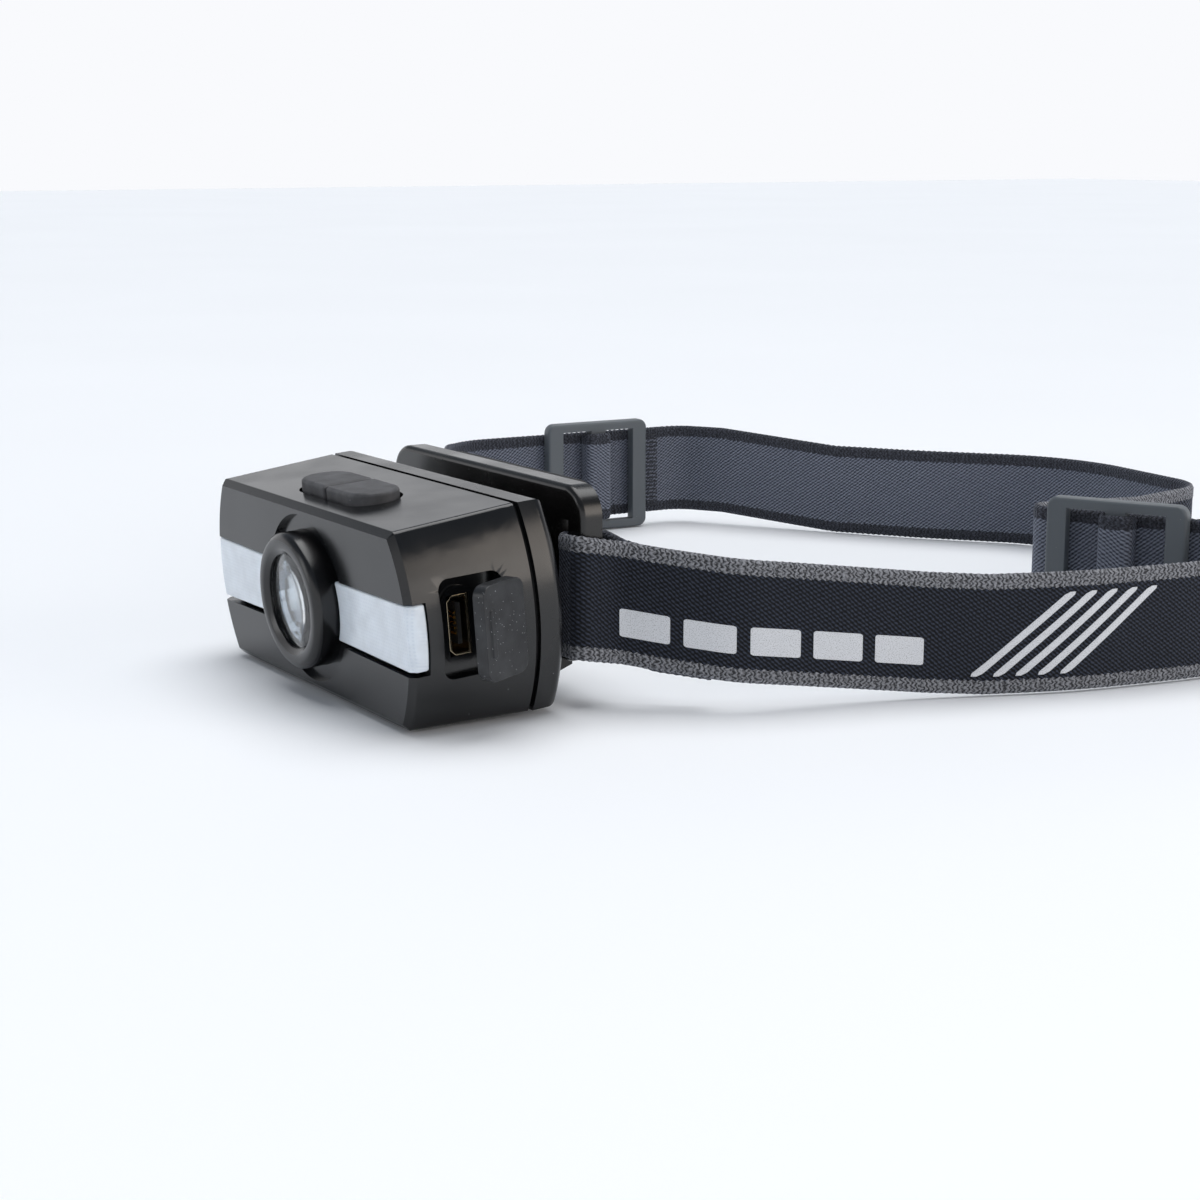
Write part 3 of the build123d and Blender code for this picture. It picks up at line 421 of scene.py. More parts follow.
def knitted_elastic(name, core, edge, core_light, edge_shade):
    """Knitted polyester elastic: dull, soft sheen, diagonal knit grain, heather yarn at the edges.
    The UV map runs along the band and across it, in metres."""
    material, tree, surface = shader(
        name, Roughness=0.86, Sheen_Weight=0.35, Sheen_Roughness=0.45, Specular_IOR_Level=0.25)
    surface.inputs["Sheen Tint"].default_value = linear("#aeb4c4")
    place = put(tree, "ShaderNodeUVMap", uv_map="UVMap").outputs["UV"]
    parts = put(tree, "ShaderNodeSeparateXYZ", {"Vector": place})
    wobble = put(tree, "ShaderNodeTexNoise", {"Vector": place, "Scale": per_mm(1.1), "Detail": 3.0})
    fuzz = put(tree, "ShaderNodeTexNoise", {"Vector": place, "Scale": per_mm(0.3), "Detail": 4.0})
    made = {"along": parts.outputs["X"], "across": parts.outputs["Y"],
            "wobble": wobble.outputs["Fac"], "fuzz": fuzz.outputs["Fac"]}
    width = sizes().edge_band
    # Each step is a Math node: its own name, what it does, and two inputs, by name or as a number.
    # Face: slanted stitches 0.75 mm along the band and 0.6 mm across, wandering a little.
    # Edge: two-tone yarn in chevrons 0.7 mm along and 0.35 mm deep, broken up by loose fibres.
    # Between them is a boundary that steps by half a millimetre, as the stitches do.
    for step, does, first, second in (
            ("shift", "MULTIPLY", "wobble", 4.5),
            ("turn_along", "MULTIPLY", "along", 2 * math.pi / (0.75 * MM)),
            ("turn_across", "MULTIPLY", "across", 2 * math.pi / (0.6 * MM)),
            ("diagonal", "ADD", "turn_along", "turn_across"),
            ("wandering", "ADD", "diagonal", "shift"),
            ("slant", "SINE", "wandering", 0),
            ("half_along", "MULTIPLY", "turn_along", 0.5),
            ("back_diagonal", "SUBTRACT", "half_along", "turn_across"),
            ("counter", "SINE", "back_diagonal", 0),
            ("slant_part", "MULTIPLY", "slant", 0.34),
            ("counter_part", "MULTIPLY", "counter", 0.16),
            ("stitch", "ADD", "slant_part", "counter_part"),
            ("height", "ADD", "stitch", 0.5),
            ("height_part", "MULTIPLY", "height", 0.62),
            ("fuzz_part", "MULTIPLY", "fuzz", 0.5),
            ("core_tone", "ADD", "height_part", "fuzz_part"),
            ("zigzag", "PINGPONG", "across", 0.35 * MM),
            ("chevron", "ADD", "along", "zigzag"),
            ("chevron_turn", "MULTIPLY", "chevron", 2 * math.pi / (0.7 * MM)),
            ("stray", "MULTIPLY", "wobble", 14.0),
            ("chevron_stray", "ADD", "chevron_turn", "stray"),
            ("plait_wave", "SINE", "chevron_stray", 0),
            ("plait_half", "MULTIPLY", "plait_wave", 0.5),
            ("plait", "ADD", "plait_half", 0.5),
            ("plait_part", "MULTIPLY", "plait", 0.26),
            ("fibre_part", "MULTIPLY", "fuzz", 0.95),
            ("edge_tone", "ADD", "plait_part", "fibre_part"),
            ("saw", "PINGPONG", "along", 0.5 * MM),
            ("tooth", "MULTIPLY", "saw", 0.5),
            ("low_line", "ADD", "across", "tooth"),
            ("low_edge", "LESS_THAN", "low_line", width),
            ("high_line", "SUBTRACT", "across", "tooth"),
            ("high_edge", "GREATER_THAN", "high_line", BAND_WIDTH * MM - width),
            ("at_edge", "MAXIMUM", "low_edge", "high_edge"),
            ("fuzz_lift", "MULTIPLY", "fuzz", 0.8)):
        made[step] = put(tree, "ShaderNodeMath", {0: made[first], 1: made.get(second, second)},
                         operation=does).outputs[0]
    core_colour = put(tree, "ShaderNodeValToRGB", {"Fac": made["core_tone"]},
                      stops=((0.36, dimmer(core, 0.35)), (0.56, core), (0.78, core_light)))
    edge_colour = put(tree, "ShaderNodeValToRGB", {"Fac": made["edge_tone"]},
                      stops=((0.46, dimmer(edge, edge_shade)), (0.6, edge), (0.76, dimmer(edge, 1.8))))
    tone = put(tree, "ShaderNodeMix", {
        "Factor": made["at_edge"], "A": core_colour.outputs["Color"],
        "B": edge_colour.outputs["Color"]}, data_type="RGBA")
    knit = put(tree, "ShaderNodeMix", {"Factor": made["at_edge"], "A": made["height"], "B": made["plait"]})
    relief = put(tree, "ShaderNodeMath", {0: knit.outputs["Result"], 1: made["fuzz_lift"]}, operation="ADD")
    bump = put(tree, "ShaderNodeBump", {
        "Height": relief.outputs[0], "Strength": 0.9, "Distance": 0.16 * MM})
    tree.links.new(tone.outputs["Result"], surface.inputs["Base Color"])
    tree.links.new(bump.outputs["Normal"], surface.inputs["Normal"])
    return material


def reflective_film(name, colour):
    """Heat-pressed reflective film: silver glass-bead layer, speckled where the knit shows through."""
    material, tree, surface = shader(name, Roughness=0.5, Metallic=0.15)
    place = put(tree, "ShaderNodeUVMap", uv_map="UVMap").outputs["UV"]
    bead = put(tree, "ShaderNodeTexNoise", {"Vector": place, "Scale": per_mm(0.14), "Detail": 2.0})
    tone = put(tree, "ShaderNodeValToRGB", {"Fac": bead.outputs["Fac"]},
               stops=((0.3, dimmer(colour, 0.55)), (0.5, list(colour))))
    bump = put(tree, "ShaderNodeBump", {
        "Height": bead.outputs["Fac"], "Strength": 0.5, "Distance": 0.05 * MM})
    tree.links.new(tone.outputs["Color"], surface.inputs["Base Color"])
    tree.links.new(bump.outputs["Normal"], surface.inputs["Normal"])
    return material


def clothe(piece, *materials):
    """Puts materials in the piece's slots, keeping which face uses which slot."""
    slots = piece.data.materials
    while len(slots) < len(materials):
        slots.append(None)
    while len(slots) > len(materials):
        slots.pop()
    for index, material in enumerate(materials):
        slots[index] = material
    return piece


def finish_node(node, material):
    """Gives a CAD node a better material and leaves its mesh as it is."""
    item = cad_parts[node]
    item.data.materials.clear()
    item.data.materials.append(material)


# ---------------------------------------------------------------- band geometry

BAND_WIDTH = 16.0
# The print lies on the knit: its distance from the band's middle surface, and its own thickness
FILM_OUT, FILM_THICK = 0.52, 0.05
# Plan-view corners of the headband, in millimetres from the foot of the lamp's face, with the
# radius of the bend at each, and the height of its lower edge at shares of its length.
LINE_A = (Vector((-88.0, 97.0)), Vector((0.055, 1.0)).normalized())
LINE_B = (Vector((29.9, 113.3)), Vector((0.89, 0.457)).normalized())


def on_line(line, distance):
    return tuple(line[0] + line[1] * distance)


JOIN_A = on_line(LINE_A, 12.6)
JOIN_B = on_line(LINE_B, 14.7)
RUNS = {
    "right": (
        [(32.5, 39.5), (25.0, 31.1), (20.3, 29.9), (20.3, 24.3), (25.1, 24.3), (25.3, 29.9), (35.4, 41.3),
         (43.0, 64.0), (51.2, 83.7), (55.0, 103.4), on_line(LINE_B, 28.2), JOIN_B],
        [2.0, 1.5, 1.5, 1.5, 4.0, 14.0, 60.0, 60.0, 60.0, 5.0],
        [(0, 3.3), (0.05, 4.1), (0.1, 6.0), (0.18, 6.2), (0.21, 5.4), (0.26, 4.4), (0.32, 3.4),
         (0.38, 2.5), (0.5, 0.6), (0.56, 0), (0.85, 0), (0.95, 2), (1, 2)]),
    "rear": (
        [JOIN_B, on_line(LINE_B, -14.5), (8.0, 154.0), (-26.0, 158.5), (-47.0, 141.0), (-62.0, 131.0),
         on_line(LINE_A, 19.0), JOIN_A],
        [3.0, 9.0, 30.0, 60.0, 60.0, 6.0],
        [(0, 2), (0.16, 2), (0.3, 0), (0.8, 0), (0.92, 2), (1, 2)]),
    "left": (
        [JOIN_A, on_line(LINE_A, -29.0), (-58.0, 50.0), (-27.9, 29.9), (-27.7, 24.3), (-22.9, 24.3),
         (-22.9, 29.9), (-27.6, 31.1), (-34.5, 37.0)],
        [12.0, 60.0, 4.0, 1.5, 1.5, 1.5, 2.0],
        [(0, 2), (0.3, 2), (0.78, 6.4), (0.95, 6.4), (1, 5.8)]),
}


def walk(corners, radii, step):
    """Points and directions along a route of straight runs joined by arcs, every step or so."""
    corners = [Vector(c) for c in corners]
    out = []
    start = corners[0]

    def straight(a, b):
        count = max(1, round((b - a).length / step))
        direction = (b - a).normalized()
        for i in range(count):
            out.append((a.lerp(b, i / count), direction))

    for before, corner, after, radius in zip(corners, corners[1:], corners[2:], radii):
        into, away = (corner - before).normalized(), (after - corner).normalized()
        turn = math.atan2(into.x * away.y - into.y * away.x, into.dot(away))
        reach = radius * math.tan(abs(turn) / 2)
        first = corner - into * reach
        straight(start, first)
        side = Vector((-into.y, into.x)) * math.copysign(1, turn)
        centre = first + side * radius
        count = max(2, round(abs(turn) * radius / step), math.ceil(abs(turn) / 0.16))
        for i in range(count):
            angle = turn * i / count
            spoke = (first - centre)
            turned = Matrix.Rotation(angle, 2) @ spoke
            out.append((centre + turned, Matrix.Rotation(angle, 2) @ into))
        start = corner + away * reach
    straight(start, corners[-1])
    out.append((corners[-1], (corners[-1] - start).normalized()))
    return out


def height_at(share, heights):
    for (s0, z0), (s1, z1) in zip(heights, heights[1:]):
        if share <= s1:
            t = (share - s0) / (s1 - s0)
            return z0 + (z1 - z0) * t
    return heights[-1][1]


class Track:
    """The band's line: lengths, points, side directions and heights, all in millimetres."""

    def __init__(self, corners, radii, heights, step=0.5):
        walked = walk(corners, radii, step)
        self.stations = []
        length = 0.0
        for i, (point, direction) in enumerate(walked):
            if i:
                length += (point - walked[i - 1][0]).length
            self.stations.append([length, point, Vector((direction.y, -direction.x))])
        self.length = length
        self.heights = heights
        for station in self.stations:
            station.append(height_at(station[0] / length, heights))

    def at(self, length):
        """Point, outward side and base height at a length along, between stations."""
        low, high = 0, len(self.stations) - 1
        while high - low > 1:
            centre = (low + high) // 2
            if self.stations[centre][0] <= length:
                low = centre
            else:
                high = centre
        a, b = self.stations[low], self.stations[high]
        t = 0 if b[0] == a[0] else (length - a[0]) / (b[0] - a[0])
        return a[1].lerp(b[1], t), a[2].lerp(b[2], t).normalized(), a[3] + (b[3] - a[3]) * t

    def surface(self, length, across, out):
        """A point on the band: millimetres along it, up from its lower edge, and outwards."""
        point, side, base = self.at(length)
        spot = point + side * out
        return home_point(spot.x, spot.y, base + across)


def plumpness(row):
    """Share of the full thickness at a distance across the band: thin rim, plump edge, flat core."""
    to_rim = min(row, BAND_WIDTH - row)
    if to_rim < 0.4:
        return 0.62
    return 1.0 if 0.5 < to_rim < 2.0 else 0.86


def band_profile(half):
    """Cross-section of the band round the loop: (across, outward, 0 for the face or 1 for the back)."""
    rows = [0.18, 0.6, 1.2, 1.9, 2.3, 4.2, 6.1, 8.0]
    rows = rows + [BAND_WIDTH - r for r in reversed(rows[:-1])]
    outer = [(r, half * plumpness(r), 0) for r in rows]
    inner = [(r, -half * plumpness(r), 1) for r in reversed(rows)]
    return [(0, 0, 0)] + outer + [(BAND_WIDTH, 0, 0)] + inner


def knitted_run(name, track):
    """A band run with picot loops along both edges. Its UV map is metres along and across."""
    settings = sizes()
    profile = band_profile(settings.band_thickness / 2 / MM)
    pitch, depth = settings.picot_pitch / MM, settings.picot_depth / MM
    points, uv = [], []
    for length, point, side, base in track.stations:
        dip = depth * (1 - abs(math.sin(math.pi * length / pitch)))
        for across, out, _ in profile:
            lift = {0: dip, BAND_WIDTH: BAND_WIDTH - dip}.get(across, across)
            spot = point + side * out
            points.append(home_point(spot.x, spot.y, base + lift))
            uv.append((length * MM, across * MM))
    count = len(profile)
    ring_marks = [max(profile[j][2], profile[(j + 1) % count][2]) if j else 0 for j in range(count)]
    marks = ring_marks * (len(track.stations) - 1) + [0, 0]
    piece = mesh_piece(name, points, tube_faces(len(track.stations), count), uv, marks)
    return smooth(outward(piece), 60)


TRACKS = {}


def track_of(run):
    if run not in TRACKS:
        TRACKS[run] = Track(*RUNS[run])
    return TRACKS[run]


def bent_strip(name, corners, radii, base, width, thick, step=0.25):
    """A plain knitted strip of even height, such as a sewn loop, along its own short route."""
    track = Track(corners, radii, [(0, base), (1, base)], step)
    half = thick / 2
    rows = [0, 0.2, 0.8, width / 2, width - 0.8, width - 0.2, width]
    swell = [0.0, 0.7, 1.0, 0.9, 1.0, 0.7, 0.0]
    ring = [(r, half * s) for r, s in zip(rows, swell)] + \
           [(r, -half * s) for r, s in reversed(list(zip(rows, swell))[1:-1])]
    points, uv = [], []
    for length, point, side, height in track.stations:
        for across, out in ring:
            spot = point + side * out
            points.append(home_point(spot.x, spot.y, height + across))
            uv.append((length * MM, across * MM))
    piece = mesh_piece(name, points, tube_faces(len(track.stations), len(ring)), uv)
    return smooth(outward(piece), 50)


def thread(name, path, radius):
    """A sewn thread: a thin round tube through points of the scene."""
    curve = bpy.data.curves.new(name, "CURVE")
    curve.dimensions = "3D"
    curve.bevel_depth = radius * MM
    curve.bevel_resolution = 1
    curve.use_fill_caps = True
    line = curve.splines.new("POLY")
    line.points.add(len(path) - 1)
    for spot, where in zip(line.points, path):
        spot.co = (*where, 1)
    piece = bpy.data.objects.new(name, curve)
    bpy.context.scene.collection.objects.link(piece)
    activate(piece)
    bpy.ops.object.convert(target="MESH")
    piece = bpy.context.object
    piece.name = name
    return smooth(piece, 60)


def bar_tack(name, track, start, end, out, margin=1.4, pitch=0.75):
    """Zigzag stitching over the band from edge to edge between two lengths along it."""
    path = []
    count = round((BAND_WIDTH - 2 * margin) / pitch)
    for i in range(count + 1):
        across = margin + (BAND_WIDTH - 2 * margin) * i / count
        near = start if i % 2 == 0 else end
        far = end if i % 2 == 0 else start
        for share in (0.0, 0.08, 0.5, 0.92, 1.0):
            sink = -0.12 if share in (0.0, 1.0) else 0.06
            length = near + (far - near) * share
            path.append(track.surface(length, across, out + math.copysign(1, out) * sink))
    return thread(name, path, 0.16)


def spun(name, profile, steps=96, degrees=32):
    """A turned piece: a closed outline of (radius, depth) in millimetres spun about the lens axis."""
    data = bpy.data.meshes.new(name)
    points = [LAMP @ Vector((r * MM, y * MM, 0)) for r, y in profile]
    data.from_pydata(points, [(i, (i + 1) % len(points)) for i in range(len(points))], [])
    piece = bpy.data.objects.new(name, data)
    bpy.context.scene.collection.objects.link(piece)
    activate(piece)
    bpy.ops.object.mode_set(mode="EDIT")
    bpy.ops.mesh.select_all(action="SELECT")
    bpy.ops.mesh.spin(steps=steps, angle=2 * math.pi, center=lamp_point(0, 0, 0),
                      axis=LAMP.to_3x3() @ Vector((0, 1, 0)))
    bpy.ops.mesh.select_all(action="SELECT")
    bpy.ops.mesh.remove_doubles(threshold=0.002 * MM)
    bpy.ops.mesh.normals_make_consistent(inside=False)
    bpy.ops.object.mode_set(mode="OBJECT")
    return smooth(piece, degrees)


# ---------------------------------------------------------------- finishes

FINISHES = {}


def finish(name):
    """The material of this name, made the first time it is asked for."""
    if name in FINISHES:
        return FINISHES[name]
    c = colours()
    makers = {
        # Moulded shell parts: near-black with a broad, slightly broken gloss and a few dust specks
        "ABS satin moulded shell": lambda n: moulded_abs(n, c.shell, 0.2),
        "ABS satin moulded rear cover": lambda n: moulded_abs(n, c.shell, 0.24),
        # The bezel's smoother face draws its highlights out into thin rings
        "ABS satin turned bezel": lambda n: moulded_abs(n, linear("#0e0e10"), 0.22, 0.2, 0.06),
        # The bracket is smoother than the shell, so its rounded corners catch a bright line
        "Acetal glossy bracket": lambda n: moulded_abs(n, c.bracket, 0.24, 0.3, 0.05),
        # The sliders are dull mid grey, with no clear reflection
        "Nylon slider": lambda n: moulded_abs(n, linear("#565c61"), 0.44),
        # The lens is clear with sharp highlights, and the windows glow milky white behind a gloss
        "Clear polycarbonate lens": lambda n: polished_pc(n, "#f4f8fa"),
        "Frosted polycarbonate window": lambda n: frosted_pc(n, c.window),
        # Soft rubber: greyer than the shell, dull, and flecked with lint; the seal is clean
        "Silicone keys": lambda n: silicone(n, c.rubber, 0.55),
        "Silicone port cover": lambda n: silicone(n, c.cover, 0.3, 0.09, 0.5),
        "Nitrile seal": lambda n: silicone(n, linear("#0c0c0d"), 0.6, 0.0),
        # Metals: a near mirror in the cup, a warm sheen in the port, dull zinc and milled aluminium
        "Vacuum metallised reflector": lambda n: metal(n, "#dfe4ea", 0.08, 0.5),
        "Nickel plated port shell": lambda n: metal(n, "#b9ab90", 0.22, 0.4),
        "Gold flashed contacts": lambda n: metal(n, "#d9a74e", 0.18, 0.2),
        "Zinc plated steel": lambda n: metal(n, "#8d8f92", 0.3, 0.3),
        "Aluminium star board": lambda n: metal(n, "#c9cbce", 0.35, 0.3),
        # Coated component bodies: each one its own colour, with a faint mottle
        "Yellow phosphor LED": lambda n: painted(n, "#e8cf52", "#f4e27e", 0.4, 0.15),
        "White phosphor LED": lambda n: painted(n, "#e9e4bd", "#f6f3da", 0.4, 0.2),
        "Solder mask board": lambda n: painted(n, "#173c24", "#1f4d2f", 1.6, 0.35),
        "Moulded nylon switch": lambda n: painted(n, "#1a1a1b", "#232324", 0.3, 0.5),
        "Foil battery pouch": lambda n: painted(n, "#a5a8ad", "#b9bcc1", 3.0, 0.3),
        "Red wire insulation": lambda n: painted(n, "#8d1414", "#a01a1a", 0.6, 0.5),
        # Foam with a closed dark skin: quite matt
        "EVA brow foam": lambda n: painted(n, "#1f1f21", "#29292c", 0.5, 0.9),
        # The band is near-black outside with salt-and-pepper edges, and slate grey inside
        "Knitted elastic face": lambda n: knitted_elastic(
            n, list(c.band_core), list(c.band_edge), linear("#343a48"), 0.22),
        "Knitted elastic back": lambda n: knitted_elastic(
            n, list(c.band_back), linear("#34363d"), linear("#818694"), 0.6),
        # Silver that stays pale from most angles, with a fine speckle
        "Reflective heat transfer": lambda n: reflective_film(n, c.reflective),
        # Dark dull thread, a shade above the knit
        "Polyester thread": lambda n: painted(n, "#26282e", "#3b3e46", 0.3, 0.8),
    }
    FINISHES[name] = makers[name](name)
    return FINISHES[name]


# ---------------------------------------------------------------- operators

class HEADLAMP_OT_stage(bpy.types.Operator):
    """Pale table, soft studio light and the camera"""
    bl_idname = "headlamp.stage"
    bl_label = "Stage"

    def execute(self, context):
        s = sizes()
        scene = context.scene
        scene.view_settings.view_transform = "Standard"
        deselect()
        bpy.ops.mesh.primitive_plane_add(size=6.0, location=(0, 0, -0.0002))
        floor = settle(bpy.context.object, "table_top")
        material, tree, surface = shader("Matt painted table", Roughness=0.65, Specular_IOR_Level=0.3)
        place = put(tree, "ShaderNodeTexCoord").outputs["Object"]
        mottle = put(tree, "ShaderNodeTexNoise", {"Vector": place, "Scale": per_mm(160.0), "Detail": 2.0})
        base = colours().floor
        paint = put(tree, "ShaderNodeValToRGB", {"Fac": mottle.outputs["Fac"]},
                    stops=((0.3, dimmer(base, 0.985)), (0.7, list(base))))
        tree.links.new(paint.outputs["Color"], surface.inputs["Base Color"])
        clothe(floor, material)

        world = bpy.data.worlds.new("Studio")
        world.use_nodes = True
        sky, ground = world.node_tree, world.node_tree.nodes["Background"]
        # White sweep up to about 16 degrees above the table, then a dim room
        outlook = put(sky, "ShaderNodeTexCoord").outputs["Generated"]
        up = put(sky, "ShaderNodeSeparateXYZ", {"Vector": outlook})
        white, dim = linear("#f9fafd"), linear("#767e88")
        sweep = put(sky, "ShaderNodeValToRGB", {"Fac": up.outputs["Z"]},
                    stops=((0.0, white), (0.28, white), (0.42, dim), (1.0, dim)))
        sky.links.new(sweep.outputs["Color"], ground.inputs["Color"])
        ground.inputs["Strength"].default_value = 1.0
        scene.world = world

        aim = home_point(5.69, 39.74, 9.02)
        facing = Vector((-math.sin(s.view_turn) * math.cos(s.view_drop),
                         math.cos(s.view_turn) * math.cos(s.view_drop), -math.sin(s.view_drop)))

        def softbox(name, towards, distance, size, watts, tint):
            lamp = bpy.data.lights.new(name, "AREA")
            lamp.shape = "RECTANGLE"
            lamp.size, lamp.size_y = size
            lamp.energy = watts
            lamp.color = linear(tint)[:3]
            holder = bpy.data.objects.new(name, lamp)
            holder.location = aim + Vector(towards).normalized() * distance
            holder.rotation_euler = Vector(towards).to_track_quat("Z", "Y").to_euler()
            scene.collection.objects.link(holder)

        soft = bpy.data.lights.new("overhead_scrim", "SUN")
        soft.energy = 2.3
        soft.angle = math.radians(55)
        scrim = bpy.data.objects.new("overhead_scrim", soft)
        scrim.rotation_euler = Vector((-0.1, 0.2, 1.0)).to_track_quat("Z", "Y").to_euler()
        scene.collection.objects.link(scrim)
        softbox("left_softbox", (-0.3, -1.0, 0.3), 0.9, (0.25, 0.4), 0.5, "#fbfdff")
        softbox("right_softbox", (0.84, 0.52, 0.34), 0.7, (0.3, 0.36), 1.0, "#fff3e6")

        eye = bpy.data.cameras.new("camera")
        eye.lens = s.lens_length
        eye.sensor_width = 36
        eye.clip_start = 0.01
        holder = bpy.data.objects.new("camera", eye)
        holder.location = aim - facing * s.view_distance
        holder.rotation_euler = facing.to_track_quat("-Z", "Y").to_euler()
        scene.collection.objects.link(holder)
        scene.camera = holder
        return {"FINISHED"}


class HEADLAMP_OT_shell(bpy.types.Operator):
    """Front shell, rear cover and screws"""
    bl_idname = "headlamp.shell"
    bl_label = "Shell"

    def execute(self, context):
        edge = sizes().shell_edge / MM
        shell = copied_from("front_shell", "shell_front", edge)
        stand_in(clothe(shell, finish("ABS satin moulded shell")), "lamp", "shell_plastic", "front_shell")
        cover = copied_from("rear_cover", "shell_rear", edge)
        clothe(cover, finish("ABS satin moulded rear cover"))
        stand_in(cover, "lamp", "cover_plastic", "rear_cover")
        screws = copied_from("cover_screws", "shell_screws", 0.15)
        stand_in(clothe(screws, finish("Zinc plated steel")), "lamp", "screw_steel", "cover_screws")
        finish_node("seam_gasket", finish("Nitrile seal"))
        return {"FINISHED"}


class HEADLAMP_OT_windows(bpy.types.Operator):
    """Frosted light-guide windows on both sides of the lens"""
    bl_idname = "headlamp.windows"
    bl_label = "Side windows"

    def execute(self, context):
        for side in ("left", "right"):
            pane = copied_from(f"window_{side}", f"frosted_pane_{side}", 0.35, 24, 4)
            stand_in(clothe(pane, finish("Frosted polycarbonate window")), "lamp", "frosted_window",
                     f"window_{side}")
            finish_node(f"side_leds_{side}", finish("White phosphor LED"))
        return {"FINISHED"}


class HEADLAMP_OT_optics(bpy.types.Operator):
    """Bezel, lens, reflector and spot LED"""
    bl_idname = "headlamp.optics"
    bl_label = "Optics"

    def execute(self, context):
        bezel = spun("bezel_turned", [
            (6.2, -2.3), (6.24, -2.42), (6.86, -2.8), (7.1, -2.9), (7.95, -2.9), (8.25, -2.82),
            (8.73, -2.4), (8.86, -2.2), (8.9, -1.9), (8.9, 2.2), (6.75, 2.2), (6.75, -2.1), (6.2, -2.1)])
        stand_in(clothe(bezel, finish("ABS satin turned bezel")), "lamp", "bezel_plastic", "bezel_ring")
        lens = spun("lens_disc", [
            (0, -2.08), (6.4, -2.08), (6.62, -2.0), (6.68, -1.85), (6.68, -0.62), (5.5, -0.62),
            (4.0, -0.32), (2.0, -0.23), (0, -0.2)], degrees=40)
        stand_in(clothe(lens, finish("Clear polycarbonate lens")), "lamp", "clear_lens", "front_lens")
        cup_outer = [(6.3, 0.3), (4.9, 4.0), (2.6, 7.6)]
        cup_inner = [(2.0, 7.6), (2.9, 6.6), (3.65, 5.4), (4.3, 4.0), (4.9, 2.6), (5.4, 1.3), (5.7, 0.3)]
        cup = spun("reflector_cup", cup_outer + cup_inner, steps=28, degrees=4)
        clothe(cup, finish("Vacuum metallised reflector"))
        stand_in(cup, "lamp", "reflector_chrome", "reflector")
        dome = spun("spot_dome", [
            (0, 6.7), (0.4, 6.76), (0.8, 6.95), (1.1, 7.2), (1.28, 7.5), (1.3, 7.7), (1.7, 7.7),
            (1.7, 8.38), (0, 8.38)])
        stand_in(clothe(dome, finish("Yellow phosphor LED")), "lamp", "led_yellow", "spot_led")
        finish_node("lens_seal", finish("Nitrile seal"))
        finish_node("led_board", finish("Aluminium star board"))
        return {"FINISHED"}


class HEADLAMP_OT_port(bpy.types.Operator):
    """Charging port, its cover and the soft tether"""
    bl_idname = "headlamp.port"
    bl_label = "Charging port"

    def execute(self, context):
        metalwork = copied_from("usb_shell", "port_shell", 0.08, 40, 2)
        stand_in(clothe(metalwork, finish("Nickel plated port shell")), "lamp", "port_steel", "usb_shell")
        finish_node("usb_tongue", finish("Moulded nylon switch"))
        finish_node("usb_contacts", finish("Gold flashed contacts"))
        plug = copied_from("usb_cover", "port_cover_plate", 0.5, 40, 5)
        stand_in(clothe(plug, finish("Silicone port cover")), "port_cover", "port_rubber", "usb_cover")
        self.tether()
        return {"FINISHED"}

    def tether(self):
        """A soft strip, slimmer at its middle, from the recess floor to the back of the plate."""
        root, tip = Vector((26.65, 11.2)), self.plate_back()
        thick, half = 0.7, 3.0
        run = tip - root
        side = Vector((-run.y, run.x)).normalized() * thick / 2
        sections, waisting = 18, 0.12
        points = []
        for i in range(sections + 1):
            along = root + run * (i / sections)
            waist = 1 - waisting * math.sin(math.pi * i / sections)
            for across, z in ((1, -half), (1, half), (-1, half), (-1, -half)):
                spot = along + side * across * waist
                points.append(lamp_point(spot.x, spot.y, z * waist))
        strip = outward(mesh_piece("port_cover_tether", points, tube_faces(sections + 1, 4)))
        finish_with(strip, "BEVEL", width=0.22 * MM, segments=3, limit_method="ANGLE",
                    angle_limit=math.radians(40))
        smooth(strip, 60)
        clothe(strip, finish("Silicone port cover"))
        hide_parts("usb_cover_tether")
        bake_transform(strip)

    def plate_back(self):
        """Where the strip meets the plate: near the plate's rear edge, on its inner face."""
        turn = math.radians(20)
        pole, closed = Vector((26.0, 21.9)), Vector((27.1, 8.85))
        centre = pole + Matrix.Rotation(turn, 2) @ (closed - pole)
        along = Vector((math.sin(turn), -math.cos(turn)))
        return centre - along * 2.5


class HEADLAMP_OT_keys(bpy.types.Operator):
    """Two rubber keys on top, with the switches below"""
    bl_idname = "headlamp.keys"
    bl_label = "Keys"

    def execute(self, context):
        for side in ("left", "right"):
            key = copied_from(f"button_{side}", f"key_{side}", 0.3, 40, 4)
            clothe(key, finish("Silicone keys"))
            stand_in(key, f"button_{side}", "button_rubber", f"button_{side}")
            for node in (f"switch_{side}", f"switch_stem_{side}"):
                finish_node(node, finish("Moulded nylon switch"))
        return {"FINISHED"}


class HEADLAMP_OT_inner_parts(bpy.types.Operator):
    """Boards, battery and leads"""
    bl_idname = "headlamp.inner_parts"
    bl_label = "Boards and battery"

    def execute(self, context):
        for node in ("main_board", "switch_board"):
            finish_node(node, finish("Solder mask board"))
        finish_node("battery_cell", finish("Foil battery pouch"))
        finish_node("battery_leads", finish("Red wire insulation"))
        return {"FINISHED"}


